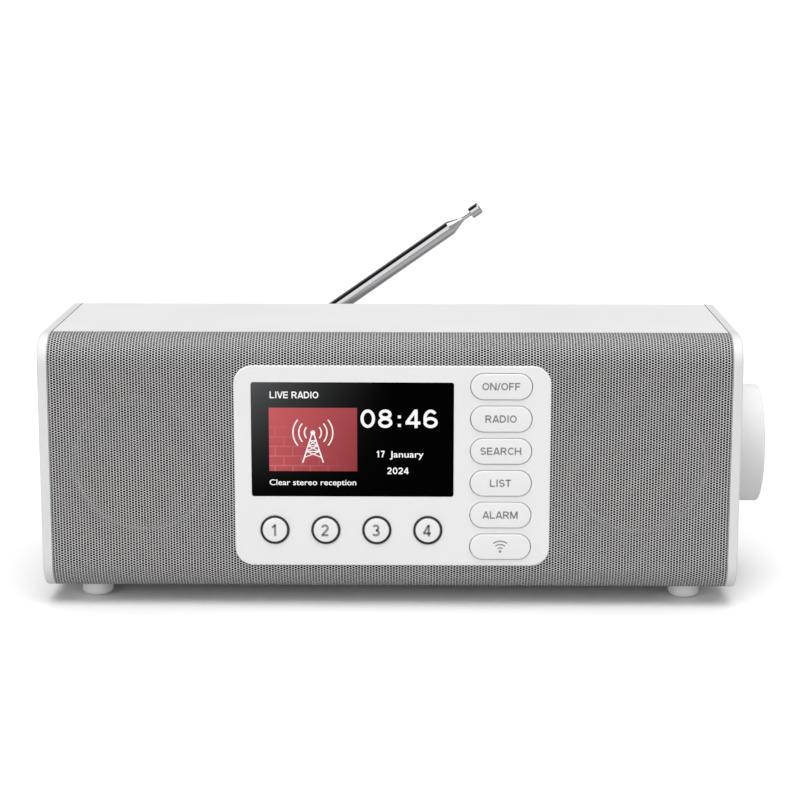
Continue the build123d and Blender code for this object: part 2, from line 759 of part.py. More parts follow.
sink_corner = (46.0, 3.0)  # from the board's front right corner
sink_size = (30.0, 20.0, 16.0)
sink_base = 3.0
fin_count = 6
fin_wall = 1.4
sink_x = (board_x[1] - sink_corner[0], board_x[1] - sink_corner[0] + sink_size[0])
sink_y = (board_y[0] + sink_corner[1], board_y[0] + sink_corner[1] + sink_size[1])
with BuildPart() as heat_sink:
    block(sink_x, sink_y, (board_top, board_top + sink_base))
    fin_step = (sink_x[1] - sink_x[0] - fin_wall) / (fin_count - 1)
    for i in range(fin_count):
        fin_x = sink_x[0] + i * fin_step
        block((fin_x, fin_x + fin_wall), sink_y, (board_top + sink_base, board_top + sink_size[2]))
write(heat_sink, "heat_sink")

lead_inset = 9.7  # from the board's ends to the speaker leads' connectors
connector_y = board_y[0] + 14.0
connector_size = (4.0, 6.0, 7.0)
chip_x = board_x[0] + 66.0
chip_height = 1.6
chips = [(14.0, 14.0, 14.0), (30.0, 9.0, 6.0)]  # from the board's front, then across and deep
capacitor_count = 3
capacitor_radius = 4.0
capacitor_height = 12.0
capacitor_pitch = 11.0
capacitor_corner = (40.0, 31.0)  # the first one, from the board's front right corner
with BuildPart() as board_components:
    for from_front, chip_width, chip_depth in chips:
        chip_y = span(board_y[0] + from_front, chip_depth)
        block(span(chip_x, chip_width), chip_y, (board_top, board_top + chip_height))
    for lead_x in (board_x[0] + lead_inset, board_x[1] - lead_inset):
        connector_z = (board_top, board_top + connector_size[2])
        block(span(lead_x, connector_size[0]), (connector_y, connector_y + connector_size[1]), connector_z)
    for i in range(capacitor_count):
        place = (board_x[1] - capacitor_corner[0] + capacitor_pitch * i, board_y[0] + capacitor_corner[1])
        post(place, capacitor_radius, (board_top, board_top + capacitor_height))
write(board_components, "board_components")

collar_end = rear - flush_gap
socket_face_gap = 0.4  # between a socket's body and the cover
socket_face = cover_front - socket_face_gap
jack_body = (8.0, 12.5, 10.0)
for name, x in (("headphone_socket", cabinet_x + headphone_x), ("aux_socket", cabinet_x + aux_x)):
    with BuildPart() as socket:
        body_y = (socket_face - jack_body[1], socket_face)
        block(span(x, jack_body[0]), body_y, (board_top, board_top + jack_body[2]))
        rod((x, socket_z), jack_collar_radius, (socket_face, collar_end))
        rod((x, socket_z), jack_radius, (collar_end - jack_depth, collar_end), Mode.SUBTRACT)
    write(socket, name)

dc_body = (10.4, 13.0, 11.0)
dc_depth = 10.0
dc_pin_recess = 0.8
dc_axis = (cabinet_x + dc_x, socket_z)
dc_y = (socket_face - dc_body[1], socket_face)
with BuildPart() as dc_socket:
    block(span(dc_axis[0], dc_body[0]), dc_y, (board_top, board_top + dc_body[2]))
    rod(dc_axis, dc_collar_radius, (socket_face, collar_end))
    rod(dc_axis, dc_bore_radius, (collar_end - dc_depth, collar_end), Mode.SUBTRACT)
    rod(dc_axis, dc_pin_radius, (collar_end - dc_depth, collar_end - dc_pin_recess))
write(dc_socket, "dc_socket")

# ---- leads inside the cabinet ----
ribbon_width = 20.0
ribbon_sheet = 0.6
ribbon_offset_x = -20.0  # from the panel's centre
ribbon_offset_z = -10.0
ribbon_x = panel_x + ribbon_offset_x
ribbon_start_z = panel_z + ribbon_offset_z
ribbon_bend_y = plug_back + 16.0
ribbon_lie_z = board_top + ribbon_sheet / 2
with BuildPart() as front_ribbon:
    with BuildLine() as ribbon_route:
        FilletPolyline(
            (ribbon_x, plug_back, ribbon_start_z),
            (ribbon_x, ribbon_bend_y, ribbon_start_z),
            (ribbon_x, ribbon_bend_y + 10.0, ribbon_lie_z),
            (ribbon_x, board_y[0] + 3.5, ribbon_lie_z),
            radius=6.0,
        )
    with BuildSketch(Plane(origin=ribbon_route.line @ 0, x_dir=(1, 0, 0), z_dir=ribbon_route.line % 0)):
        Rectangle(ribbon_width, ribbon_sheet)
    sweep()
write(front_ribbon, "front_ribbon")


def bend_radii(points):
    """For each corner of a route, 0.45 of its shorter run over the tangent of half the turn."""
    radii = []
    for before, corner, after in zip(points, points[1:], points[2:]):
        run_in = Vector(*corner) - Vector(*before)
        run_out = Vector(*after) - Vector(*corner)
        turn = radians(run_in.get_angle(run_out))
        radii.append(0.45 * min(run_in.length, run_out.length) / tan(turn / 2))
    return radii


lead_radius = 1.3
lead_lie_z = board_top + lead_radius
with BuildPart() as speaker_leads:
    for side, speaker_x in speaker_places.items():
        inward = 1 if side == "left" else -1
        lead_start = speaker_x + inward * speaker_screw_circle
        board_edge = board_x[0] if side == "left" else board_x[1]
        lead_points = [
            (lead_start, flange_back, speaker_z),
            (lead_start, flange_back + 16.0, speaker_z),
            (lead_start + (board_edge - lead_start) * 0.4, flange_back + 32.0, speaker_z - 18.0),
            (board_edge + inward * lead_inset, board_y[0] - 8.0, lead_lie_z),
            (board_edge + inward * lead_inset, connector_y, lead_lie_z),
        ]
        print(side, "lead bends", [round(r, 1) for r in bend_radii(lead_points)])
        with BuildLine() as lead_route:
            FilletPolyline(*lead_points, radius=bend_radii(lead_points))
        with BuildSketch(Plane(origin=lead_route.line @ 0, z_dir=lead_route.line % 0)):
            Circle(lead_radius)
        sweep(path=lead_route.line)
write(speaker_leads, "speaker_leads")

# ---- knob and encoder ----
nut_height = 2.2
nut_x = (right, right + nut_height)
nut_flats = 10.0
thread_end = nut_x[1] + 0.8
hub_radius = 6.0
knob_fit = 0.02  # the hub's bore is a light press on the shaft
hub_front = thread_end + 1.0
knob_x = (right + knob_back_gap, right + knob_reach)
shaft_end = knob_x[1] - knob_wall - 0.5
encoder_x = (inner_right - encoder_depth, inner_right)
cavity_radius = 4.6
cavity_x = (encoder_x[0] + 1.2, encoder_x[0] + 4.4)
plunger_gap = 0.3
plunger_x = (cavity_x[1] - plunger_gap - 1.2, cavity_x[1] - plunger_gap)

with BuildPart() as encoder_body:
    block(encoder_x, span(knob_centre_y, encoder_side), span(knob_centre_z, encoder_side))
    axle((encoder_x[1], thread_end), thread_radius, knob_centre_y, knob_centre_z)
    bore_x = (cavity_x[0], thread_end)
    axle(bore_x, shaft_radius + shaft_clearance, knob_centre_y, knob_centre_z, Mode.SUBTRACT)
    axle(cavity_x, cavity_radius, knob_centre_y, knob_centre_z, Mode.SUBTRACT)
write(encoder_body, "encoder_body")

with BuildPart() as encoder_nut:
    with BuildSketch(Plane.YZ.offset(nut_x[0])):
        with Locations((knob_centre_y, knob_centre_z)):
            RegularPolygon(nut_flats / 2, 6, major_radius=False)
            Circle(thread_radius + shaft_clearance, mode=Mode.SUBTRACT)
    extrude(amount=nut_x[1] - nut_x[0])
write(encoder_nut, "encoder_nut")

plunger_hole = 1.2
with BuildPart() as encoder_plunger:
    axle(plunger_x, cavity_radius - plunger_gap, knob_centre_y, knob_centre_z)
    axle(plunger_x, plunger_hole + shaft_clearance, knob_centre_y, knob_centre_z, Mode.SUBTRACT)
write(encoder_plunger, "encoder_plunger")

with BuildPart() as encoder_shaft:
    axle((plunger_x[1] + shaft_clearance, shaft_end), shaft_radius, knob_centre_y, knob_centre_z)
    axle((plunger_x[0], plunger_x[1] + shaft_clearance), plunger_hole, knob_centre_y, knob_centre_z)
write(encoder_shaft, "encoder_shaft")

with BuildPart() as volume_knob:
    axle(knob_x, knob_radius, knob_centre_y, knob_centre_z)
    fillet(volume_knob.faces().sort_by(Axis.X)[-1].edges(), knob_edge_radius)
    hollow_x = (knob_x[0], knob_x[1] - knob_wall)
    axle(hollow_x, knob_radius - knob_wall, knob_centre_y, knob_centre_z, Mode.SUBTRACT)
    axle((hub_front, hollow_x[1]), hub_radius, knob_centre_y, knob_centre_z)
    axle((hub_front, hollow_x[1]), shaft_radius + knob_fit, knob_centre_y, knob_centre_z, Mode.SUBTRACT)
write(volume_knob, "volume_knob")

# ---- antenna ----
swivel_gap = 0.2
knuckle_base_y = rear + bushing_flange + swivel_gap
knuckle_base = (knuckle_base_y, knuckle_base_y + swivel_flange)
bushing_reach = 1.5  # beyond the back wall's inside
bushing_end = rear - rear_wall - bushing_reach
swivel_head = 1.5
knuckle_half = tongue_half + tube_clearance + ear_thickness
pin_clearance = 0.06
pin_seat = 0.02
pin_proud = 0.2  # beyond each ear
pin_chamfer = 0.25

with BuildPart() as antenna_bushing:
    rod((pivot_x, pivot_z), bushing_radius, (bushing_end, rear))
    rod((pivot_x, pivot_z), bushing_radius + bushing_lip, (rear, rear + bushing_flange))
    fillet(antenna_bushing.faces().sort_by(Axis.Y)[-1].edges(), bushing_edge_radius)
    bore_y = (bushing_end, rear + bushing_flange)
    rod((pivot_x, pivot_z), stem_of_swivel_radius + shaft_clearance, bore_y, Mode.SUBTRACT)
write(antenna_bushing, "antenna_bushing")

with BuildPart() as antenna_swivel:
    rod((pivot_x, pivot_z), knuckle_radius + swivel_flange_lip, knuckle_base)
    rod((pivot_x, pivot_z), stem_of_swivel_radius, (bushing_end - flush_gap, knuckle_base[0]))
    head_y = (bushing_end - flush_gap - swivel_head, bushing_end - flush_gap)
    rod((pivot_x, pivot_z), stem_of_swivel_radius + swivel_flange_lip, head_y)
    with BuildSketch(tilt_plane.offset(-knuckle_half)):
        Circle(knuckle_radius)
        with Locations((0, (knuckle_base[1] - pivot_y) / 2)):
            Rectangle(2 * knuckle_radius, pivot_y - knuckle_base[1])
    extrude(amount=2 * knuckle_half)
    slot_half = tongue_half + tube_clearance
    with BuildSketch(tilt_plane.offset(-slot_half)):
        with Locations((0, knuckle_base[1] - pivot_y + knuckle_radius * 2)):
            Rectangle(4 * knuckle_radius, 4 * knuckle_radius)
    extrude(amount=2 * slot_half, mode=Mode.SUBTRACT)
    with BuildSketch(tilt_plane.offset(-knuckle_half)):
        Circle(pin_radius + pin_seat)
    extrude(amount=2 * knuckle_half, mode=Mode.SUBTRACT)
write(antenna_swivel, "antenna_swivel")

with BuildPart() as antenna_hinge_pin:
    with BuildSketch(tilt_plane.offset(-knuckle_half - pin_proud)):
        Circle(pin_radius)
    extrude(amount=2 * (knuckle_half + pin_proud))
    chamfer(antenna_hinge_pin.edges().filter_by(GeomType.CIRCLE), pin_chamfer)
write(antenna_hinge_pin, "antenna_hinge_pin")

mast_axis = Axis(pivot, along)


def on_mast(distance):
    """A point on the mast's axis, that far from the pivot."""
    return tuple(p + a * distance for p, a in zip(pivot, along))


tube_count = 4
tube_radii = [tube_diameter / 2 - i * (tube_wall + tube_clearance) for i in range(tube_count)]
inner_start = antenna_start + 3.0  # where the second tube starts, folded
start_step = 1.5
tube_floor = 2.0

for i, radius in enumerate(tube_radii):
    tube_start = antenna_start if i == 0 else inner_start + (i - 1) * start_step
    outer_end = tube_end + i * tube_step
    bore = radius - tube_wall
    with BuildPart() as antenna_tube:
        with BuildSketch(mast_plane):
            with BuildLine():
                Polyline(
                    (tube_start, bore),
                    (tube_start, radius),
                    (outer_end - tube_taper, radius),
                    (outer_end, bore + tube_clearance),
                    (outer_end, bore),
                    close=True,
                )
            make_face()
        revolve(axis=mast_axis)
        if i == 0:
            with BuildSketch(Plane(origin=on_mast(tube_start), z_dir=along)):
                Circle(radius)
            extrude(amount=tube_floor)
            with BuildSketch(tilt_plane.offset(-tongue_half)):
                Circle(tongue_radius)
                with Locations((antenna_start / 2, 0)):
                    Rectangle(antenna_start, 2 * tongue_radius)
                Circle(pin_radius + pin_clearance, mode=Mode.SUBTRACT)
            extrude(amount=2 * tongue_half)
    write(antenna_tube, f"antenna_tube_{i + 1}")

rod_radius = tube_radii[-1] - tube_wall - tube_clearance
rod_start = inner_start + (tube_count - 1) * start_step
with BuildPart() as antenna_tip_rod:
    with BuildSketch(Plane(origin=on_mast(rod_start), z_dir=along)):
        Circle(rod_radius)
    extrude(amount=rod_end - rod_start)
write(antenna_tip_rod, "antenna_tip_rod")

with BuildPart() as antenna_cap:
    with BuildSketch(Plane(origin=on_mast(rod_end), z_dir=along)):
        Circle(cap_diameter / 2)
    extrude(amount=cap_length)
    fillet(antenna_cap.edges().filter_by(GeomType.CIRCLE), cap_edge_radius)
write(antenna_cap, "antenna_cap")

print("cabinet", left, right, front, rear, bottom, top)
print("knob axis", right, knob_centre_y, knob_centre_z, "antenna pivot", pivot)
print("socket axes", cabinet_x + headphone_x, cabinet_x + aux_x, dc_axis, "outer end", collar_end)
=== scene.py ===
# %% [markdown]
# # A tabletop radio, piece by piece
# The radio is a folded plastic cabinet with a perforated steel front, a moulded control panel,
# a display, ten push buttons, a knob on its right end and a telescopic antenna at the back.
# The moving design comes ready made as a frame of CAD nodes. This lesson builds what that frame
# leaves out: the perforation, the crowned button caps, the print, the display's picture, the
# polished antenna and the light they stand in.

# %% Load the frame
import json
import math

import bmesh
import bpy
import numpy as np
from mathutils import Matrix, Vector


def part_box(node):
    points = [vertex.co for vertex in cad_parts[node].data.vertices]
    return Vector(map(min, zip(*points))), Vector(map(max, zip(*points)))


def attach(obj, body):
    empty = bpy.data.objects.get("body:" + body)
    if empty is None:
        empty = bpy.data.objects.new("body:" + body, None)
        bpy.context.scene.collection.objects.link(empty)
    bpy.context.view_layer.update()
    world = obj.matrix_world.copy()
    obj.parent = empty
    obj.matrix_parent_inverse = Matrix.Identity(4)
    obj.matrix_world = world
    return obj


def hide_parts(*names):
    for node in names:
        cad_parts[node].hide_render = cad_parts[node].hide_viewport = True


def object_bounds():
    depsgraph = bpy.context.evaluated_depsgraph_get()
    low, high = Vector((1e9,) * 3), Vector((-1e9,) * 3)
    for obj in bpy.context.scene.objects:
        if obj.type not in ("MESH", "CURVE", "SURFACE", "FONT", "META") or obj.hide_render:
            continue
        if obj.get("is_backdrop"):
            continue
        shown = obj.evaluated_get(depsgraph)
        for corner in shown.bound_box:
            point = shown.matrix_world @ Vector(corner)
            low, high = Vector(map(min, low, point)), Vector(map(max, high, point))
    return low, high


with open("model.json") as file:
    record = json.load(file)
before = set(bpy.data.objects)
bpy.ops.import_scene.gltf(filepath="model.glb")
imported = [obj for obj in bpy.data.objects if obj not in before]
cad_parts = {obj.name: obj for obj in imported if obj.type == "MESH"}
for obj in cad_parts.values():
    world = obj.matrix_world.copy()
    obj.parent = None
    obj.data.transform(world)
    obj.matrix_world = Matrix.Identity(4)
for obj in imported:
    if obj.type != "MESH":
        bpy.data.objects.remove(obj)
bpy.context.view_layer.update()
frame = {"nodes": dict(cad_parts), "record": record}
MM = 0.001

# %% [markdown]
# ## Places that everything follows
# Positions start from the frame's own boxes, so a moved cabinet takes the looks with it.

# %% Datum planes
left_panel_low, left_panel_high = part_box("left_end_panel")
right_panel_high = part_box("right_end_panel")[1]
grille_low, grille_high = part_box("grille")
panel_low, panel_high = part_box("control_panel")
window_low, window_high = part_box("display_window")
cabinet_x = (left_panel_low.x + right_panel_high.x) / 2
front_y = grille_low.y
bottom_z = left_panel_low.z
top_z = left_panel_high.z
print("cabinet centre", round(cabinet_x, 5), "front", round(front_y, 5), "top", round(top_z, 5))

# %% [markdown]
# ## The camera
# The radio is seen from just above its top edge, a little right of its middle, through a long
# lens, so its sides stay nearly parallel. Yaw, pitch and roll are turned into three unit vectors
# by hand: that is clearer than a chain of Euler angles, and nothing tracks anything.

# %% Camera
camera_offset = Vector((0.0149, -0.8834, 0.1448))  # from the middle of the cabinet's front top edge
camera_yaw = math.radians(-0.674)
camera_pitch = math.radians(10.986)
camera_roll = math.radians(0.038)
camera_lens = 95.24
camera_sensor = 36.0

ahead = Vector((
    math.sin(camera_yaw) * math.cos(camera_pitch),
    math.cos(camera_yaw) * math.cos(camera_pitch),
    -math.sin(camera_pitch),
))
level_right = Vector((math.cos(camera_yaw), -math.sin(camera_yaw), 0))
level_up = level_right.cross(ahead)
camera_right = level_right * math.cos(camera_roll) + level_up * math.sin(camera_roll)
camera_up = level_up * math.cos(camera_roll) - level_right * math.sin(camera_roll)

camera_data = bpy.data.cameras.new("camera")
camera_data.sensor_width = camera_sensor
camera_data.lens = camera_lens
camera_data.clip_start = 0.05
camera_data.clip_end = 50.0
camera = bpy.data.objects.new("camera", camera_data)
turn = Matrix((camera_right, camera_up, -ahead)).transposed()
camera.matrix_world = Matrix.Translation(Vector((cabinet_x, front_y, top_z)) + camera_offset) @ turn.to_4x4()
bpy.context.scene.collection.objects.link(camera)
bpy.context.scene.camera = camera
bpy.context.scene.view_settings.view_transform = "Standard"
print("camera at", [round(v, 4) for v in camera.location])

# %% [markdown]
# ## Node groups shared by the finishes
# Real mouldings are never one flat value: the mould leaves a fine grain, polishing leaves broad
# soft patches, and drawn metal shows fine lines along its length. Each of these is one group with
# named sockets, used by several finishes with different numbers.

# %% Helpers for node trees


def new_group(name, inputs, outputs):
    """A shader node group with named float or vector sockets; returns it with its two end nodes."""
    group = bpy.data.node_groups.new(name, "ShaderNodeTree")
    for socket, kind, value in inputs:
        made = group.interface.new_socket(name=socket, in_out="INPUT", socket_type=kind)
        if value is not None:
            made.default_value = value
    for socket, kind in outputs:
        group.interface.new_socket(name=socket, in_out="OUTPUT", socket_type=kind)
    start = group.nodes.new("NodeGroupInput")
    end = group.nodes.new("NodeGroupOutput")
    return group, start, end


def fill(node, **sockets):
    """Give a node's sockets their values. A socket goes by its name, or is i0, i1 and so on by number;
    a value may be another node's output, which is then linked."""
    for key, value in sockets.items():
        numbered = key[0] == "i" and key[1:].isdigit()
        socket = node.inputs[int(key[1:]) if numbered else key.replace("_", " ")]
        if isinstance(value, bpy.types.NodeSocket):
            node.id_data.links.new(value, socket)
        else:
            socket.default_value = value


def add_node(tree, kind, settings=None, **sockets):
    """A node with its settings and its sockets filled."""
    node = tree.nodes.new(kind)
    for key, value in (settings or {}).items():
        setattr(node, key, value)
    fill(node, **sockets)
    return node


def calculate(tree, operation, *values):
    """The output of a math node on its values, in their order."""
    numbered = {f"i{i}": value for i, value in enumerate(values)}
    return add_node(tree, "ShaderNodeMath", {"operation": operation}, **numbered).outputs[0]


def mixed(tree, factor, first, second):
    """The colour between a first and a second one, at a factor from 0 to 1."""
    node = add_node(tree, "ShaderNodeMix", {"data_type": "RGBA"}, Factor=factor, A=first, B=second)
    return node.outputs["Result"]


def remap(tree, value, low_in, high_in, low_out, high_out):
    """The output of a clamped linear change of range."""
    node = add_node(
        tree, "ShaderNodeMapRange", {"clamp": True}, Value=value,
        From_Min=low_in, From_Max=high_in, To_Min=low_out, To_Max=high_out,
    )
    return node.outputs["Result"]


# %% Group: the fine grain of a moulding
grain_group, start, end = new_group(
    "moulded_grain",
    [
        ("Vector", "NodeSocketVector", None),
        ("Grain Size", "NodeSocketFloat", 0.0004),
        ("Low Roughness", "NodeSocketFloat", 0.4),
        ("High Roughness", "NodeSocketFloat", 0.5),
    ],
    [("Height", "NodeSocketFloat"), ("Roughness", "NodeSocketFloat"), ("Patch", "NodeSocketFloat")],
)
grain_scale = calculate(grain_group, "DIVIDE", 1.0, start.outputs["Grain Size"])
fine = add_node(
    grain_group, "ShaderNodeTexNoise", None,
    Vector=start.outputs["Vector"], Scale=grain_scale, Detail=2.0, Roughness=0.6,
)
patch_scale = 28.0  # patches per metre
broad = add_node(
    grain_group, "ShaderNodeTexNoise", None, Vector=start.outputs["Vector"], Scale=patch_scale, Detail=3.0,
)
patch = remap(grain_group, broad.outputs["Fac"], 0.3, 0.7, 0.0, 1.0)
rough = remap(grain_group, patch, 0.0, 1.0, start.outputs["Low Roughness"], start.outputs["High Roughness"])
fill(end, Height=fine.outputs["Fac"], Patch=patch, Roughness=rough)

# %% Group: fine lines drawn along a metal part
drawn_group, start, end = new_group(
    "drawn_lines",
    [
        ("Vector", "NodeSocketVector", None),
        ("Low Roughness", "NodeSocketFloat", 0.05),
        ("High Roughness", "NodeSocketFloat", 0.12),
    ],
    [("Height", "NodeSocketFloat"), ("Roughness", "NodeSocketFloat")],
)
lines = add_node(
    drawn_group, "ShaderNodeTexNoise", None, Vector=start.outputs["Vector"], Scale=1.0, Detail=2.0,
)
low_rough, high_rough = start.outputs["Low Roughness"], start.outputs["High Roughness"]
rough = remap(drawn_group, lines.outputs["Fac"], 0.3, 0.7, low_rough, high_rough)
fill(end, Height=lines.outputs["Fac"], Roughness=rough)
print("groups", [g.name for g in bpy.data.node_groups])

# %% [markdown]
# ## Finishes
# One function makes every moulded or painted finish. The colour drifts by a few parts in a
# hundred over broad patches, the roughness follows the same patches, and the grain is a bump.
# What is the same all over a finish, such as its specular level, is set on the shader itself.

# %% Moulded and painted finishes


def new_material(name):
    """An empty node material with its Principled shader; returns both."""
    material = bpy.data.materials.new(name)
    material.use_nodes = True
    return material, material.node_tree.nodes["Principled BSDF"]


def moulded(name, colour, low, high, grain_size, depth, drift=0.03, specular=0.5):
    """Plastic, rubber or paint: its colour drifts down by a share in patches, its roughness runs from
    low to high over the same patches, and its grain has a size and a bump depth in metres."""
    material, shader = new_material(name)
    tree = material.node_tree
    place = add_node(tree, "ShaderNodeTexCoord")
    grain = add_node(
        tree, "ShaderNodeGroup", {"node_tree": grain_group},
        Vector=place.outputs["Object"], Grain_Size=grain_size, Low_Roughness=low, High_Roughness=high,
    )
    dark = (*[c * (1 - drift) for c in colour], 1)
    bump = add_node(
        tree, "ShaderNodeBump", None, Strength=1.0, Distance=depth, Height=grain.outputs["Height"],
    )
    fill(
        shader, Base_Color=mixed(tree, grain.outputs["Patch"], dark, (*colour, 1)),
        Roughness=grain.outputs["Roughness"], Normal=bump.outputs["Normal"], Specular_IOR_Level=specular,
    )
    return material


LINE_SHARE = 0.03  # scale of drawn lines along their direction, as a share of the scale across


def metal(name, colour, low, high, direction, fineness, depth):
    """Bright metal with fine lines along a direction. The pattern is turned so that its X lies that
    way, and its scale there is only a few parts in a hundred of the scale across."""
    material, shader = new_material(name)
    tree = material.node_tree
    place = add_node(tree, "ShaderNodeTexCoord")
    along = Vector(direction).normalized()
    turned = along.rotation_difference(Vector((1, 0, 0))).to_euler()
    stretch = add_node(
        tree, "ShaderNodeMapping", None, Vector=place.outputs["Object"], Rotation=turned,
        Scale=(fineness * LINE_SHARE, fineness, fineness),
    )
    drawn = add_node(
        tree, "ShaderNodeGroup", {"node_tree": drawn_group},
        Vector=stretch.outputs["Vector"], Low_Roughness=low, High_Roughness=high,
    )
    bump = add_node(
        tree, "ShaderNodeBump", None, Strength=1.0, Distance=depth, Height=drawn.outputs["Height"],
    )
    fill(
        shader, Base_Color=(*colour, 1), Metallic=1.0,
        Roughness=drawn.outputs["Roughness"], Normal=bump.outputs["Normal"],
    )
    return material


joints = {joint["name"]: joint for joint in frame["record"]["behaviour"]["joints"]}
mast_along = joints["antenna_draw_1"]["axis"]

# moulded: name, colour, roughness low and high, grain size, bump depth, drift, specular level
# metal: name, colour, roughness low and high, direction of its lines, their fineness, bump depth
finish = {
    "cabinet_white": moulded("satin_cabinet", (0.80, 0.80, 0.80), 0.42, 0.5, 0.00035, 0.000006, 0.015),
    "end_white": moulded("satin_end", (0.75, 0.75, 0.75), 0.34, 0.42, 0.0003, 0.000005, 0.015),
    "grille_white": moulded("powder_coat", (0.83, 0.836, 0.84), 0.45, 0.6, 0.0005, 0.00001, 0.02),
    "panel_white": moulded("semi_gloss_panel", (0.86, 0.86, 0.86), 0.30, 0.33, 0.0005, 0.000002, 0.004),
    "button_white": moulded("semi_gloss_button", (0.86, 0.86, 0.86), 0.30, 0.34, 0.0005, 0.000002, 0.005),
    "knob_white": moulded("satin_knob", (0.80, 0.80, 0.80), 0.46, 0.54, 0.0003, 0.000005, 0.012, 0.25),
    "display_black": moulded("display_frame", (0.01, 0.01, 0.01), 0.4, 0.5, 0.0005, 0.000002),
    "ring_black": moulded("dark_ring", (0.012, 0.012, 0.013), 0.18, 0.28, 0.0006, 0.000002, 0.1, 0.6),
    "inner_black": moulded("black_moulding", (0.010, 0.010, 0.010), 0.6, 0.75, 0.0005, 0.00002, 0.15, 0.2),
    "rear_grey": moulded("rear_cover_grain", (0.76, 0.76, 0.755), 0.5, 0.62, 0.0009, 0.00003, 0.02),
    "foot_rubber": moulded("pale_rubber", (0.93, 0.93, 0.92), 0.6, 0.75, 0.0006, 0.00001, 0.03, 0.3),
    "board_green": moulded("solder_mask", (0.02, 0.12, 0.05), 0.3, 0.45, 0.0008, 0.00001, 0.1),
    "component_black": moulded("chip_black", (0.02, 0.02, 0.02), 0.4, 0.6, 0.0005, 0.00001, 0.1),
    "cone_black": moulded("cone_paper", (0.015, 0.015, 0.015), 0.75, 0.95, 0.0012, 0.00005, 0.2, 0.15),
    "surround_rubber": moulded(
        "surround_rubber", (0.012, 0.012, 0.012), 0.5, 0.65, 0.0006, 0.00001, 0.1, 0.3,
    ),
    "basket_black": moulded("black_paint", (0.015, 0.015, 0.015), 0.35, 0.5, 0.0007, 0.00001, 0.1),
    "magnet_dark": moulded("ferrite", (0.05, 0.05, 0.05), 0.5, 0.7, 0.0009, 0.00003, 0.15),
    "ribbon_grey": moulded("flat_cable", (0.7, 0.7, 0.7), 0.4, 0.5, 0.0008, 0.00001),
    "lead_black": moulded("lead_sheath", (0.02, 0.02, 0.02), 0.4, 0.55, 0.0006, 0.00001, 0.1),
    "socket_black": moulded("socket_moulding", (0.015, 0.015, 0.015), 0.3, 0.45, 0.0005, 0.00001, 0.1),
    "can_steel": metal("tinned_steel", (0.6, 0.6, 0.6), 0.25, 0.45, (1, 0, 0), 4000, 0.000004),
    "encoder_steel": metal("plain_steel", (0.5, 0.5, 0.5), 0.2, 0.4, (1, 0, 0), 4000, 0.000004),
    "screw_steel": metal("zinc_steel", (0.42, 0.42, 0.43), 0.25, 0.45, (1, 0, 0), 5000, 0.000004),
    "heat_aluminium": metal("extruded_aluminium", (0.6, 0.61, 0.63), 0.25, 0.45, (0, 1, 0), 3000, 0.000008),
    "antenna_chrome": metal("polished_chrome", (0.41, 0.41, 0.42), 0.03, 0.07, mast_along, 2500, 0.0000004),
}
print("finishes", len(finish))

# %% [markdown]
# ## The window's glass black
# The display's cover is gloss black. One upper corner carries a painted reflection: a faint grey
# emission that stands in for soft light mirrored in the glass. Two ramps, one along the width and one
# up the height, are multiplied and raised to a power, so that the painted reflection has no visible edge.

# %% Window finish
window_size = window_high - window_low
window_material, shader = new_material("gloss_window")
tree = window_material.node_tree
place = add_node(tree, "ShaderNodeTexCoord")
apart = add_node(tree, "ShaderNodeSeparateXYZ", None, Vector=place.outputs["Object"])
reflection_share = 0.72  # of the window's width that the painted reflection reaches over
reflection_floor = window_low.z - window_size.z * 0.1
reflection_power = 1.8
from_left = remap(tree, apart.outputs["X"], window_low.x, window_low.x + window_size.x * reflection_share, 1.0, 0.0)
from_top = remap(tree, apart.outputs["Z"], reflection_floor, window_high.z, 0.0, 1.0)
painted_reflection = calculate(tree, "POWER", calculate(tree, "MULTIPLY", from_left, from_top), reflection_power)
grain = add_node(
    tree, "ShaderNodeGroup", {"node_tree": grain_group},
    Vector=place.outputs["Object"], Low_Roughness=0.06, High_Roughness=0.10,
)
# Painted reflection: the faint grey emission in the upper corner stands in for light mirrored in the glass.
fill(
    shader, Emission_Color=mixed(tree, painted_reflection, (0, 0, 0, 1), (0.085, 0.087, 0.089, 1)), Emission_Strength=1.0,
    Base_Color=(0.0005, 0.0005, 0.0005, 1), Specular_IOR_Level=0.008, Roughness=grain.outputs["Roughness"],
)
finish["window_black"] = window_material

# %% [markdown]
# ## Give every CAD node its finish
# A node's slot is in the record, so one loop dresses them all.

# %% Dress the CAD nodes
slot_of = {entry["node"]: entry["material_slot"] for entry in frame["record"]["subparts"]}
for name, node in frame["nodes"].items():
    node.data.materials.clear()
    node.data.materials.append(finish[slot_of[name]])
# The speaker screws behind the grille are coloured near black, so they show no bright dots through its holes.
frame["nodes"]["speaker_screws"].data.materials[0] = moulded(
    "near_black_screws", (0.012, 0.012, 0.012), 0.35, 0.5, 0.0004, 0.000003, 0.1, 0.3
)
print("dressed", len(slot_of), "nodes")

# %% [markdown]
# ## Meshes from arrays
# Every new piece is computed as whole arrays: a table of points and a table of faces. One
# function turns them into an object, hangs it on its body and hides the CAD nodes that it stands in for.

# %% From arrays to a piece


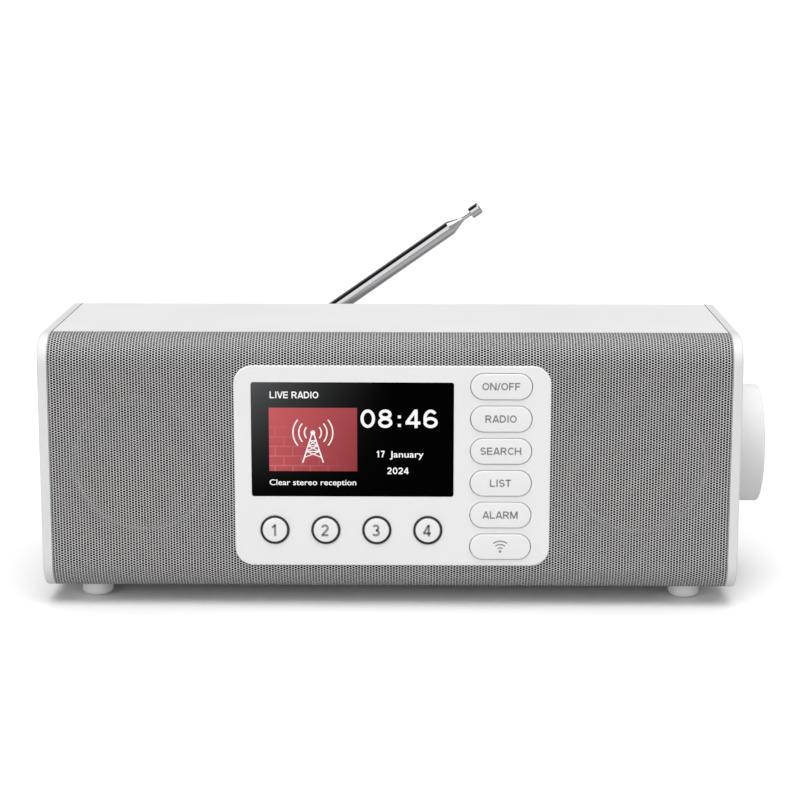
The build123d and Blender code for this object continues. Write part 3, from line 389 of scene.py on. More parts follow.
def piece(name, points, faces, material, body, slot, replaces=(), smooth=True):
    """A mesh object at the origin from an (n, 3) array and an (m, 3) or (m, 4) array of corner numbers."""
    points = np.asarray(points, np.float64)
    faces = np.asarray(faces, np.int64)
    mesh = bpy.data.meshes.new(name)
    corners = faces.shape[1]
    mesh.vertices.add(len(points))
    mesh.vertices.foreach_set("co", points.astype(np.float32).ravel())
    mesh.loops.add(faces.size)
    mesh.loops.foreach_set("vertex_index", faces.ravel().astype(np.int32))
    mesh.polygons.add(len(faces))
    mesh.polygons.foreach_set("loop_start", np.arange(0, faces.size, corners, dtype=np.int32))
    mesh.polygons.foreach_set("use_smooth", np.full(len(faces), smooth))
    mesh.update(calc_edges=True)
    mesh.validate()
    mesh.materials.append(material)
    made = bpy.data.objects.new(name, mesh)
    bpy.context.scene.collection.objects.link(made)
    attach(made, body)
    if replaces:
        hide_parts(*replaces)
    print(name, len(points), "points", len(faces), "faces")
    return made


def weld(mesh):
    """Join a mesh's doubled corners and point its faces outwards."""
    work = bmesh.new()
    work.from_mesh(mesh)
    bmesh.ops.remove_doubles(work, verts=work.verts, dist=1e-7)
    bmesh.ops.recalc_face_normals(work, faces=work.faces)
    work.to_mesh(mesh)
    work.free()


def grid_faces(rows, columns, wrap):
    """Quads between a grid's neighbouring points; with wrap, the last column joins the first."""
    across = np.arange(columns if wrap else columns - 1)
    down = np.arange(rows - 1)[:, None]
    after = (across + 1) % columns
    near, far = down * columns, (down + 1) * columns
    return np.stack([near + across, near + after, far + after, far + across], axis=-1).reshape(-1, 4)


# %% [markdown]
# ## The perforated front
# The grille is a steel sheet punched with about twenty thousand holes and bent over the front's
# top and bottom edges. A bump or a picture of holes would look flat from the side, so the holes
# are real. On the flat sheet each hole sits in a small cell: columns are evenly spaced, and every
# second column is shifted by half a cell. A cell's outline has six points, its four corners and the
# middles of its two long sides, which reach out a little where the corners draw in, so it joins its
# shifted neighbours point to point. Six more points make the hole. The flat pattern is then bent:
# the distance up the sheet becomes a walk along straight, arc, straight, arc, straight.

# %% The bent sheet's path
sheet = 0.5 * MM
bend_radius = 12.0 * MM
grille_depth = grille_high.y - grille_low.y
straight_return = grille_depth - bend_radius
straight_front = (grille_high.z - grille_low.z) - 2 * bend_radius
bend_length = bend_radius * math.pi / 2
sheet_length = 2 * straight_return + 2 * bend_length + straight_front


def bend_sheet(x, up, inward):
    """Flat sheet to bent sheet: up is the distance along the section from the bottom's back edge,
    inward the depth below the outer skin. Angle 0 points down and a half turn points up."""
    first = straight_return
    second = first + bend_length
    third = second + straight_front
    fourth = third + bend_length
    angle = np.clip((up - first) / bend_length, 0, 1) * math.pi / 2
    angle = angle + np.clip((up - third) / bend_length, 0, 1) * math.pi / 2
    radius = bend_radius - inward
    centre_y = grille_low.y + bend_radius
    centre_z = np.where(up < second, grille_low.z + bend_radius, grille_high.z - bend_radius)
    rise = np.clip(up - second, 0, straight_front)
    centre_z = np.where((up > second) & (up < third), grille_low.z + bend_radius + rise, centre_z)
    back = np.clip(first - up, 0, None) + np.clip(up - fourth, 0, None)
    y = centre_y + back - np.sin(angle) * radius
    z = centre_z - np.cos(angle) * radius
    return np.stack([x, y, z], axis=-1)


# %% Punch the sheet
column_aim = 1.2455 * MM
row_aim = 1.098 * MM
hole_half_wide = 0.69 * MM
hole_half_high = 0.455 * MM
lean = 0.13 * MM  # how far a cell's side reaches out at its middle, and in at its corners
edge_web = 0.12 * MM  # metal left between a hole and the sheet's side edge
column_count = round((grille_high.x - grille_low.x) / column_aim)
row_count = round(sheet_length / row_aim)
column_step = (grille_high.x - grille_low.x) / column_count
row_step = sheet_length / row_count
cover_margin = 0.75 * MM  # how far a cell may reach under the control panel's edge
panel_radius = 8.0 * MM


def outside_panel(x, up):
    """Distance from the control panel's rounded outline, on the flat sheet; negative inside it."""
    to_up = straight_return + bend_length - (grille_low.z + bend_radius)
    centre = (panel_low + panel_high) / 2
    half_x = (panel_high.x - panel_low.x) / 2 - panel_radius
    half_z = (panel_high.z - panel_low.z) / 2 - panel_radius
    dx = np.abs(x - centre.x) - half_x
    dz = np.abs(up - (centre.z + to_up)) - half_z
    past_corner = np.hypot(np.clip(dx, 0, None), np.clip(dz, 0, None))
    return past_corner + np.minimum(np.maximum(dx, dz), 0) - panel_radius


def punched_cells(first_column, last_column, low_up, high_up):
    """Outline and hole corners, (cells, 6, 2) each, of the cells in a range of columns and heights,
    and the outlines of the unpunched half cells at the ends of the shifted columns."""
    column = np.arange(first_column, last_column)[:, None]
    row = np.arange(row_count)[None, :]
    shifted = column % 2 == 1
    x = grille_low.x + (column + 0.5) * column_step + 0 * row
    up = (row + 0.5 + 0.5 * shifted) * row_step
    keep = (up < sheet_length - 0.6 * row_step) & (up > low_up) & (up < high_up)
    keep &= outside_panel(x, up) > -cover_margin
    centres = np.stack([x[keep], up[keep]], axis=-1)[:, None, :]
    outline = np.array([(-1, -1), (1, -1), (1, 0), (1, 1), (-1, 1), (-1, 0)]) / 2 * (column_step, row_step)
    outline[:, 0] += np.array([1, -1, 1, -1, 1, -1]) * lean
    outline = centres + outline
    outline[..., 0] = np.clip(outline[..., 0], grille_low.x, grille_high.x)
    hole = np.array([(-0.5, -1), (0.5, -1), (1, 0), (0.5, 1), (-0.5, 1), (-1, 0)])
    hole = centres + hole * (hole_half_wide, hole_half_high)
    hole[..., 0] = np.clip(hole[..., 0], grille_low.x + edge_web, grille_high.x - edge_web)
    ends = []
    for edge_up in (0.0, sheet_length - 0.5 * row_step):
        if low_up <= edge_up < high_up:
            columns = np.arange(first_column, last_column)
            columns = columns[columns % 2 == 1]
            corners = np.array([(-0.5, 0), (0.5, 0), (0.5, 0.5), (-0.5, 0.5)]) * (column_step, row_step)
            corners[:, 0] += np.array([-1, 1, -1, 1] if edge_up == 0 else [1, -1, 1, -1]) * lean
            middle_x = grille_low.x + (columns + 0.5) * column_step
            middle = np.stack([middle_x, np.full(len(columns), edge_up)], -1)
            ends.append(np.clip(middle[:, None, :] + corners, (grille_low.x, -1), (grille_high.x, 1)))
    ends = np.concatenate(ends) if ends else np.zeros((0, 4, 2))
    return outline, hole, ends


def close_rim(front_faces, count):
    """Quads that join the front skin's open edges to the back skin, whose points follow count later."""
    edges = np.concatenate([front_faces[:, [i, (i + 1) % 4]] for i in range(4)])
    edges = edges[edges[:, 0] != edges[:, 1]]
    key = edges[:, 0] * count + edges[:, 1]
    back_key = edges[:, 1] * count + edges[:, 0]
    loose = edges[~np.isin(key, back_key)]
    return np.stack([loose[:, 1], loose[:, 0], loose[:, 0] + count, loose[:, 1] + count], axis=-1)


# The hole walls and the sheet's back take a dull dark grey as painted shade, so that a hole reads as dark.
hole_shade = moulded("hole_walls_painted_shade", (0.10, 0.10, 0.10), 0.6, 0.7, 0.0005, 0.000004, 0.05, 0.2)


def punched_sheet(name, first_column, last_column, low_up, high_up, replaces=()):
    """One closed part of the grille: front skin, back skin, hole walls and rim, with shared corners."""
    outline, hole, ends = punched_cells(first_column, last_column, low_up, high_up)
    flat = np.concatenate([outline.reshape(-1, 2), hole.reshape(-1, 2), ends.reshape(-1, 2)])
    unit = 1e-8
    flat_points, number = np.unique(np.round(flat / unit).astype(np.int64), axis=0, return_inverse=True)
    number = number.ravel()
    cells = len(outline)
    outer = number[: cells * 6].reshape(-1, 6)
    inner = number[cells * 6: cells * 12].reshape(-1, 6)
    blank = number[cells * 12:].reshape(-1, 4)
    after = np.roll(np.arange(6), -1)
    ring = np.stack([outer, outer[:, after], inner[:, after], inner], axis=-1).reshape(-1, 4)
    skin = np.concatenate([ring, blank])
    count = len(flat_points)
    faces = np.concatenate([skin, skin[:, ::-1] + count, close_rim(skin, count)])
    x, up = (flat_points * unit).T
    points = np.concatenate([bend_sheet(x, up, 0 * up), bend_sheet(x, up, 0 * up + sheet)])
    made = piece(name, points, faces, finish["grille_white"], "cabinet", "grille_white", replaces,
                 smooth=False)
    # The hole walls and the sheet's back take the painted shade.
    made.data.materials.append(hole_shade)
    made.data.polygons.foreach_set("material_index", (np.arange(len(faces)) >= len(skin)).astype(np.int32))
    print(name, cells, "holes", len(faces) * 2, "triangles")
    return made


panel_columns = np.floor((np.array([panel_low.x, panel_high.x]) - grille_low.x) / column_step).astype(int)
left_middle = panel_columns[0] // 2
right_middle = (panel_columns[1] + column_count) // 2
panel_up = (panel_low.z + panel_high.z) / 2 - grille_low.z - bend_radius + straight_return + bend_length
punched_sheet("grille_far_left", 0, left_middle, -1, 1, ["grille"])
punched_sheet("grille_near_left", left_middle, panel_columns[0], -1, 1)
punched_sheet("grille_below_panel", panel_columns[0], panel_columns[1] + 1, -1, panel_up)
punched_sheet("grille_above_panel", panel_columns[0], panel_columns[1] + 1, panel_up, 1)
punched_sheet("grille_near_right", panel_columns[1] + 1, right_middle, -1, 1)
punched_sheet("grille_far_right", right_middle, column_count, -1, 1)

# %% [markdown]
# ## Painted shadow strips beside the end panels
# Each end panel meets the folded cabinet with a fine joint, whose shadow shows as a dark line over the top,
# down the back and under the bottom. A hairline gap between two white parts would fill with light,
# so a thin black strip lies in it as painted shadow. Its path is the cabinet's own section: straight,
# quarter circle, straight, quarter circle, straight; each point is carried out along the section's normal.

# %% Painted shadow strips
shadow_strip_width = 0.35 * MM
shadow_strip_rise = 0.02 * MM
end_gap = 0.15 * MM
rear_y = left_panel_high.y


# A black strip in the joint beside an end panel, as painted shadow.
def seal(name, inner_x, outer_x):
    """A closed ribbon along the section from the grille's back edge, over the top, to the bottom."""
    turn = np.radians(np.linspace(90, 0, 13))
    top_arc = np.stack([rear_y - bend_radius + np.cos(turn) * bend_radius,
                        top_z - bend_radius + np.sin(turn) * bend_radius], -1)
    low_arc = top_arc[::-1] * (1, -1) + (0, top_z + bottom_z)
    path = np.concatenate([[(grille_high.y, top_z)], top_arc, low_arc, [(grille_high.y, bottom_z)]])
    normal = np.concatenate([[(0, 1)], np.stack([np.cos(turn), np.sin(turn)], -1),
                             np.stack([np.cos(turn[::-1]), -np.sin(turn[::-1])], -1), [(0, -1)]])
    section = [(outer_x, shadow_strip_rise), (inner_x, shadow_strip_rise), (inner_x, -shadow_strip_rise), (outer_x, -shadow_strip_rise)]
    rows = [np.column_stack([np.full(len(path), x), path + normal * rise]) for x, rise in section]
    points = np.stack(rows, axis=1).reshape(-1, 3)
    last = np.arange(4) + (len(path) - 1) * 4
    faces = np.concatenate([grid_faces(len(path), 4, True), [[3, 2, 1, 0]], [last]])
    made = piece(name, points, faces, finish["inner_black"], "cabinet", "inner_black", smooth=False)
    weld(made.data)
    return made


seal("left_end_shadow_strip", grille_low.x - end_gap + shadow_strip_width, grille_low.x - end_gap)
seal("right_end_shadow_strip", grille_high.x + end_gap - shadow_strip_width, grille_high.x + end_gap)

# %% [markdown]
# ## Crowned button caps
# A push button is one moulding: a cap with a gently crowned face, a rounded edge, a flange behind
# the panel that keeps it in, and a stem that reaches its switch. Every cap here is a stack of
# rings. A ring is the cap's outline moved inwards by some distance, at some depth, so one short
# profile of (inward distance, depth) pairs makes the whole form. The last ring is closed by
# joining each of its points to its mirror image.

# %% Button caps
cap_edge = 0.45 * MM
cap_gap = 0.10 * MM  # the painted cap stands this much inside the moulding's outline
cap_crown = 0.14 * MM
legend_depth = 0.01 * MM  # a legend's surface lies this far behind the cap's foremost point
crown_end = 0.93  # share of the half height where the crown's last ring lies
panel_plate = 2.4 * MM
flange_lip = 0.8 * MM
flange_thickness = 1.0 * MM
stem_radius = 1.6 * MM


def rounded_slot(centre, half_straight, radius, inward, depth, steps=48):
    """One ring: two half circles joined by straights, its radius less the inward distance."""
    turn = (np.arange(steps) + 0.5) / steps * math.tau
    side = np.sign(np.cos(turn)) * half_straight
    x = centre[0] + side + np.cos(turn) * (radius - inward)
    z = centre[1] + np.sin(turn) * (radius - inward)
    return np.stack([x, np.full(steps, depth), z], axis=-1)


def mirrored_lid(steps, first):
    """Quads across a ring, from each point to the one opposite it above or below the middle line."""
    upper = np.arange(steps // 2)
    lower = steps - 1 - upper
    return np.stack([upper[:-1], upper[1:], lower[1:], lower[:-1]], axis=-1) + first


def ring_stack(rings):
    """Points and quads of a closed body from its list of rings, back ring first, with both lids."""
    steps = len(rings[0])
    points = np.concatenate(rings)
    sides = grid_faces(len(rings), steps, True)
    back = mirrored_lid(steps, 0)[:, ::-1]
    front = mirrored_lid(steps, (len(rings) - 1) * steps)
    return points, np.concatenate([sides, back, front])


def button_cap(node, plate_front):
    """A cap with flange and stem that stands where the CAD button does, on that button's own body."""
    low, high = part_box(node)
    centre = ((low.x + high.x) / 2, (low.z + high.z) / 2)
    radius = (high.z - low.z) / 2 - flange_lip
    half_straight = (high.x - low.x) / 2 - flange_lip - radius
    radius -= cap_gap
    flange_front = plate_front + panel_plate + 0.1 * MM
    flange_back = flange_front + flange_thickness
    crown_foot = low.y + cap_crown
    profile = [(-flange_lip, flange_back), (-flange_lip, flange_front), (0, flange_front)]
    profile += [(0, crown_foot + cap_edge)]
    turn = np.linspace(0, math.pi / 2, 9)[1:]
    profile += list(zip(cap_edge * (1 - np.cos(turn)), crown_foot + cap_edge * (1 - np.sin(turn))))
    share = np.linspace(0, 1, 13)[1:]
    reach = radius * crown_end - cap_edge
    profile += list(zip(cap_edge + share * reach, low.y + cap_crown * (1 - share) ** 2))
    rings = [rounded_slot(centre, half_straight, radius, inward, depth) for inward, depth in profile]
    points, faces = ring_stack(rings)
    stem = [rounded_slot(centre, 0, stem_radius, 0, depth) for depth in (high.y, flange_back - 0.2 * MM)]
    stem_points, stem_faces = ring_stack(stem)
    points = np.concatenate([points, stem_points])
    faces = np.concatenate([faces, stem_faces + len(points) - len(stem_points)])
    piece(node + "_cap", points, faces, finish["button_white"], node + "_body", "button_white", [node])
    return centre, low.y + legend_depth


pills = ["power_button", "radio_button", "search_button", "list_button", "alarm_button", "wireless_button"]
presets = [f"preset_button_{i}" for i in range(1, 5)]
plate_front = panel_low.y
faces_at = {name: button_cap(name, plate_front) for name in pills + presets}
print("caps", {name: [round(c / MM, 2) for c in centre] for name, (centre, depth) in faces_at.items()})

# %% [markdown]
# ## Print and picture
# Letters start as Blender text, become a mesh, are welded shut and only then are stood upright and
# moved to their place. A thin solid stands a few hundredths of a millimetre proud of its surface,
# as screen print does. Words and pictograms here are plain ones that any such product could carry.

# %% Print finishes


def lit(name, low_colour, high_colour):
    """A backlit part of the picture: its light drifts between two colours in soft patches."""
    material, shader = new_material(name)
    tree = material.node_tree
    place = add_node(tree, "ShaderNodeTexCoord")
    grain = add_node(
        tree, "ShaderNodeGroup", {"node_tree": grain_group}, Vector=place.outputs["Object"],
    )
    fill(
        shader, Emission_Color=mixed(tree, grain.outputs["Patch"], (*low_colour, 1), (*high_colour, 1)),
        Emission_Strength=1.0, Base_Color=(0.01, 0.01, 0.01, 1), Specular_IOR_Level=0.05,
    )
    return material


print_grey = moulded("grey_print", (0.28, 0.28, 0.285), 0.45, 0.55, 0.0003, 0.000001, 0.08, 0.3)
lit_white = lit("lit_white", (0.93, 0.93, 0.93), (1.0, 1.0, 1.0))

# %% Letters
TEXT_DEPTH = 0.01  # half the thickness that a text is made with, before it is scaled


def text_mesh(text, weight):
    """A flat text as a mesh, at the font's own size; weight thickens its strokes."""
    curve = bpy.data.curves.new("letters", "FONT")
    curve.body = text
    curve.align_x = "LEFT"
    curve.resolution_u = 5
    curve.offset = weight
    curve.extrude = TEXT_DEPTH
    holder = bpy.data.objects.new("letters", curve)
    bpy.context.scene.collection.objects.link(holder)
    graph = bpy.context.evaluated_depsgraph_get()
    mesh = bpy.data.meshes.new_from_object(holder.evaluated_get(graph))
    bpy.data.objects.remove(holder)
    bpy.data.curves.remove(curve)
    return mesh


CAPITAL = 0.729  # height of the built-in font's capitals, in its own units
PROUD = 0.03 * MM  # how far print stands out of its surface


def lettering(name, text, x, z, surface, height, material, body, weight=0.0, align=0.5, stretch=1.0,
              facing=1):
    """Letters stood upright on a surface that faces -Y, or +Y with facing -1. Align 0 puts x at
    their left end, 0.5 at their middle; z is the middle of the capitals."""
    mesh = text_mesh(text, weight)
    scale = height / CAPITAL
    points = np.zeros(len(mesh.vertices) * 3)
    mesh.vertices.foreach_get("co", points)
    points = points.reshape(-1, 3)
    wide = np.ptp(points[:, 0])
    across = (points[:, 0] - points[:, 0].min() - wide * align) * scale * stretch
    depth = facing * points[:, 2] * PROUD / TEXT_DEPTH
    upright = np.stack([x + facing * across, surface - depth, z + points[:, 1] * scale - height / 2], -1)
    mesh.vertices.foreach_set("co", upright.ravel())
    mesh.update()
    weld(mesh)
    mesh.materials.clear()
    mesh.materials.append(material)
    made = bpy.data.objects.new(name, mesh)
    bpy.context.scene.collection.objects.link(made)
    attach(made, body)
    print(name, "wide", round(wide * scale * stretch / MM, 2), "mm")
    return made


# %% [markdown]
# ## Strokes
# Pictograms are drawn with strokes: a centre line carried sideways by half its width, with its own
# front, back and rim. Everything is computed in the plane and then stood upright, so an arc is just
# a stroke along a circle, and a disc is a closed stroke round a circle as small as it is wide.

# %% Strokes and arcs


def stroke(line, width, surface, closed=False):
    """Points and quads of a flat band of a given width along a line of (x, z) points."""
    line = np.asarray(line, float)
    before = np.roll(line, 1, axis=0)
    after = np.roll(line, -1, axis=0)
    if not closed:
        before[0] = line[0]
        after[-1] = line[-1]
    along = after - before
    along /= np.linalg.norm(along, axis=1)[:, None]
    side = np.stack([-along[:, 1], along[:, 0]], -1) * width / 2
    corners = [line + side, line - side]
    front = surface - PROUD
    back = surface + PROUD
    tables = [(corners[0], front), (corners[1], front), (corners[1], back), (corners[0], back)]
    rows = np.stack([np.column_stack([c[:, 0], np.full(len(c), y), c[:, 1]]) for c, y in tables], axis=1)
    count = len(line)
    faces = grid_faces(count, 4, True)
    if closed:
        last = np.arange(4) + (count - 1) * 4
        seam = np.stack([last, np.roll(last, -1), np.roll(np.arange(4), -1), np.arange(4)], -1)
        faces = np.concatenate([faces, seam])
    else:
        faces = np.concatenate([faces, [[3, 2, 1, 0]], [np.arange(4) + (count - 1) * 4]])
    return rows.reshape(-1, 3), faces


def gather(parts):
    """Several (points, faces) pairs as one."""
    offset = 0
    points, faces = [], []
    for part_points, part_faces in parts:
        points.append(part_points)
        faces.append(np.asarray(part_faces) + offset)
        offset += len(part_points)
    return np.concatenate(points), np.concatenate(faces)


def arc(centre, radius, start, end, steps=24):
    """Points along a circle between two angles in degrees, 0 to the right and 90 up."""
    turn = np.radians(np.linspace(start, end, steps))
    return np.stack([centre[0] + np.cos(turn) * radius, centre[1] + np.sin(turn) * radius], -1)


# %% [markdown]
# ## Bold letters and numbers
# Printed legends on a product are bold and even in weight. Blender's own font is light, and
# thickening it fills its corners, so these are drawn as an engraver would cut them: each mark is
# a few centre lines in a box one unit high, and every line is carried to the same width.

# %% Marks as centre lines
LOW, MIDDLE, HIGH = 0.085, 0.50, 0.915  # centre lines of a mark's foot, waist and head strokes


def oval(x, z, half_wide, half_high, start=0.0, end=345.0):
    """Points along an oval in a mark's unit box, between two angles in degrees."""
    return arc((0, 0), 1, start, end) * (half_wide, half_high) + (x, z)


def bar(*points):
    """A centre line straight from point to point."""
    return np.array(points, float)


def bowl(right, foot, head):
    """A round shoulder out of an upright: along the head, round a half oval and back along the foot."""
    half = (head - foot) / 2
    turn = right - min(half, 0.31)
    shoulder = oval(turn, foot + half, right - turn, half, 90, -90)
    return np.concatenate([bar((LOW, head)), shoulder, bar((LOW, foot))])


upright = bar((LOW, 0), (LOW, 1))
s_upper = oval(0.33, 0.705, 0.235, 0.21, 25, 262)
s_lower = oval(0.33, 0.295, 0.25, 0.21, 82, -155)
marks = {  # mark: width of its box, open lines, closed lines
    "A": (0.74, [bar((0.07, 0), (0.35, 1)), bar((0.67, 0), (0.39, 1)), bar((0.18, 0.26), (0.56, 0.26))], []),
    "C": (0.72, [oval(0.39, MIDDLE, 0.30, 0.415, 42, 318)], []),
    "D": (0.74, [upright, bowl(0.64, LOW, HIGH)], []),
    "E": (0.66, [upright] + [bar((LOW, z), (0.61, z)) for z in (LOW, MIDDLE, HIGH)], []),
    "F": (0.62, [upright, bar((LOW, HIGH), (0.59, HIGH)), bar((LOW, 0.49), (0.53, 0.49))], []),
    "H": (0.76, [upright, bar((0.66, 0), (0.66, 1)), bar((LOW, MIDDLE), (0.66, MIDDLE))], []),
    "I": (0.27, [bar((0.135, 0), (0.135, 1))], []),
    "L": (0.62, [upright, bar((LOW, LOW), (0.59, LOW))], []),
    "M": (0.88, [upright, bar((0.78, 0), (0.78, 1)), bar((0.10, 0.98), (0.43, 0.04)),
                 bar((0.76, 0.98), (0.43, 0.04))], []),
    "N": (0.76, [upright, bar((0.66, 0), (0.66, 1)), bar((0.09, 0.97), (0.655, 0.03))], []),
    "O": (0.80, [], [oval(0.39, MIDDLE, 0.31, 0.415)]),
    "R": (0.74, [upright, bowl(0.60, 0.48, HIGH), bar((0.38, 0.46), (0.65, 0))], []),
    "S": (0.68, [np.concatenate([s_upper, s_lower])], []),
    "T": (0.64, [bar((0.31, 0), (0.31, 1)), bar((0.01, HIGH), (0.61, HIGH))], []),
    "V": (0.70, [bar((0.04, 1), (0.32, 0)), bar((0.64, 1), (0.36, 0))], []),
    "/": (0.36, [bar((0.03, 0), (0.30, 1))], []),
    " ": (0.30, [], []),
    ":": (0.36, [bar((0.17, 0.06), (0.17, 0.22)), bar((0.17, 0.52), (0.17, 0.68))], []),
    "0": (0.64, [], [oval(0.30, MIDDLE, 0.225, 0.42)]),
    "1": (0.64, [bar((0.37, 0), (0.37, 1)), bar((0.12, 0.74), (0.25, 0.79), (0.36, 0.92))], []),
    "2": (0.64, [np.concatenate([oval(0.29, 0.685, 0.205, 0.235, 170, -35), bar((0.09, 0.10))]),
                 bar((0.03, LOW), (0.55, LOW))], []),
    "3": (0.64, [oval(0.28, 0.715, 0.19, 0.205, 155, -90), oval(0.28, 0.295, 0.22, 0.215, 90, -155)], []),
    "4": (0.64, [bar((0.42, 0), (0.42, 1)), bar((0.41, 0.96), (0.06, 0.30)),
                 bar((0.01, 0.27), (0.59, 0.27))], []),
    "6": (0.64, [oval(0.31, MIDDLE, 0.225, 0.42, 40, 205)], [oval(0.305, 0.30, 0.22, 0.22)]),
    "7": (0.64, [bar((0.03, HIGH), (0.56, HIGH)), bar((0.52, 0.89), (0.33, 0.5), (0.23, 0.0))], []),
    "8": (0.64, [], [oval(0.30, 0.73, 0.19, 0.19), oval(0.30, 0.29, 0.22, 0.21)]),
}


MARK_GAP = 0.35  # room between two marks, as a share of a stroke's width


def bold_marks(name, text, x, z, surface, height, stretch, weight, material, body, slot):
    """A row of marks centred on x and z. Each centre line is placed, then carried to one width, which
    is the weight times the height."""
    advance = np.array([marks[mark][0] for mark in text]) * stretch + weight * MARK_GAP
    pens = np.cumsum(advance) - advance - advance.sum() / 2
    parts = []
    for mark, pen in zip(text, pens):
        lines = [(line, False) for line in marks[mark][1]] + [(line, True) for line in marks[mark][2]]
        for line, closed in lines:
            placed = (line * (stretch, 1) + (pen, -0.5)) * height + (x, z)
            parts.append(stroke(placed, weight * height, surface, closed))
    made = piece(name, *gather(parts), material, body, slot, smooth=False)
    print(name, "wide", round(advance.sum() * height / MM, 2), "mm")
    return made


# %% Legends on the buttons
labels = {"power_button": "ON/OFF", "radio_button": "RADIO", "search_button": "SEARCH", "list_button": "LIST",
          "alarm_button": "ALARM"}
label_rise = 0.2 * MM
for node, word in labels.items():
    (x, z), depth = faces_at[node]
    bold_marks(node + "_label", word, x, z + label_rise, depth, 3.2 * MM, 1.2, 0.19, print_grey,
               node + "_body", "button_white")
for number, node in enumerate(presets, start=1):
    (x, z), depth = faces_at[node]
    bold_marks(node + "_number", str(number), x, z, depth, 5.2 * MM, 1.1, 0.19, print_grey,
               node + "_body", "button_white")

# %% The wireless button's waves
(x, z), depth = faces_at["wireless_button"]
source = (x, z - 1.9 * MM)
waves = [stroke(arc(source, radius * MM, 50, 130), 0.55 * MM, depth) for radius in (1.6, 3.1, 4.6)]
waves.append(stroke(arc(source, 0.3 * MM, 0, 345, 24), 0.58 * MM, depth, closed=True))
piece("wireless_waves", *gather(waves), print_grey, "wireless_button_body", "button_white", smooth=False)

# %% [markdown]
# ## The display's picture
# A lit tile with a broadcasting mast, a clock, a date and two lines of words. All of it lies on
# the window's face and glows a little, as a backlit panel does. The tile has a soft diagonal fall
# of colour and, low on its left, a faint wall of blocks that only just shows.

# %% The tile
window_face = window_low.y
tile_x = (cabinet_x - 51.35 * MM, cabinet_x - 13.75 * MM)
tile_z = (top_z - 57.55 * MM, top_z - 29.95 * MM)
tile_material, shader = new_material("lit_tile")
tree = tile_material.node_tree
place = add_node(tree, "ShaderNodeTexCoord")
apart = add_node(tree, "ShaderNodeSeparateXYZ", None, Vector=place.outputs["Object"])
rightward = remap(tree, apart.outputs["X"], tile_x[0], tile_x[1], 0.0, 1.0)
downward = remap(tree, apart.outputs["Z"], tile_z[0], tile_z[1], 1.0, 0.0)
slope = calculate(tree, "MULTIPLY_ADD", downward, 0.25, calculate(tree, "MULTIPLY", rightward, 0.75))
tile_colour = mixed(tree, slope, (0.56, 0.105, 0.12, 1), (0.27, 0.035, 0.04, 1))
flat = add_node(tree, "ShaderNodeCombineXYZ", None, X=apart.outputs["X"], Y=apart.outputs["Z"])
blocks = add_node(
    tree, "ShaderNodeTexBrick", None, Vector=flat.outputs[0], Scale=1.0, Brick_Width=0.0075,
    Row_Height=0.0042, Mortar_Size=0.00035, Mortar_Smooth=0.6,
)
shown = remap(tree, calculate(tree, "SUBTRACT", downward, rightward), 0.0, 0.8, 0.0, 0.22)
faint = calculate(tree, "MULTIPLY", blocks.outputs["Fac"], shown)
fill(
    shader, Emission_Color=mixed(tree, faint, tile_colour, (0.95, 0.45, 0.45, 1)), Emission_Strength=1.0,
    Base_Color=(0.01, 0.005, 0.005, 1), Specular_IOR_Level=0.05,
)

tile_front = window_face - 0.02 * MM
tile_points = [(x, y, z) for y in (tile_front, window_face + PROUD) for z in tile_z for x in tile_x]
tile_faces = [(0, 1, 3, 2), (4, 6, 7, 5), (0, 4, 5, 1), (2, 3, 7, 6), (0, 2, 6, 4), (1, 5, 7, 3)]
piece("display_tile", tile_points, tile_faces, tile_material, "cabinet", "window_black", smooth=False)

# %% The mast pictogram
mast_x = cabinet_x - 32.6 * MM
ball_z = top_z - 40.75 * MM
foot_z = top_z - 53.8 * MM
peak_z = ball_z - 0.8 * MM
peak_half = 0.5 * MM
foot_half = 4.4 * MM
line_width = 0.55 * MM
thin_width = line_width * 0.7
wave_radii = (3.6 * MM, 6.0 * MM, 8.5 * MM)
wave_spread = 41  # degrees either side of level
level = np.array([0.22, 0.40, 0.60, 0.82])  # where the cross braces meet the legs, down from the peak
half_at = peak_half + (foot_half - peak_half) * level
level_z = peak_z + (foot_z - peak_z) * level

mast_strokes = []
for side, middle in ((-1, 180), (1, 0)):
    leg = [(mast_x + side * peak_half, peak_z), (mast_x + side * foot_half, foot_z)]
    mast_strokes.append(stroke(leg, line_width, tile_front))
    for radius in wave_radii:
        wave = arc((mast_x, ball_z), radius, middle - wave_spread, middle + wave_spread)
        mast_strokes.append(stroke(wave, line_width, tile_front))
for i in range(len(level) - 1):
    for side in (-1, 1):
        brace = [(mast_x - side * half_at[i], level_z[i]), (mast_x + side * half_at[i + 1], level_z[i + 1])]
        mast_strokes.append(stroke(brace, thin_width, tile_front))
    rung = [(mast_x - half_at[i], level_z[i]), (mast_x + half_at[i], level_z[i])]
    mast_strokes.append(stroke(rung, thin_width, tile_front))
mast_strokes.append(stroke(arc((mast_x, ball_z), 0.5 * MM, 0, 345, 24), 0.98 * MM, tile_front, closed=True))
piece("mast_pictogram", *gather(mast_strokes), lit_white, "cabinet", "window_black", smooth=False)

# %% Words, clock and date
# name, text, x from the cabinet's centre, z from its top, height, weight, align, stretch
words = [
    ("display_line", "Clear stereo reception", -51.3, -62.4, 2.6, 0.008, 0.0, 1.13),
    ("display_date", "January", 7.4, -50.0, 2.9, 0.010, 0.5, 1.2),
]
for name, text, x, z, height, weight, align, stretch in words:
    lettering(name, text, cabinet_x + x * MM, top_z + z * MM, window_face, height * MM, lit_white,
              "cabinet", weight, align, stretch)
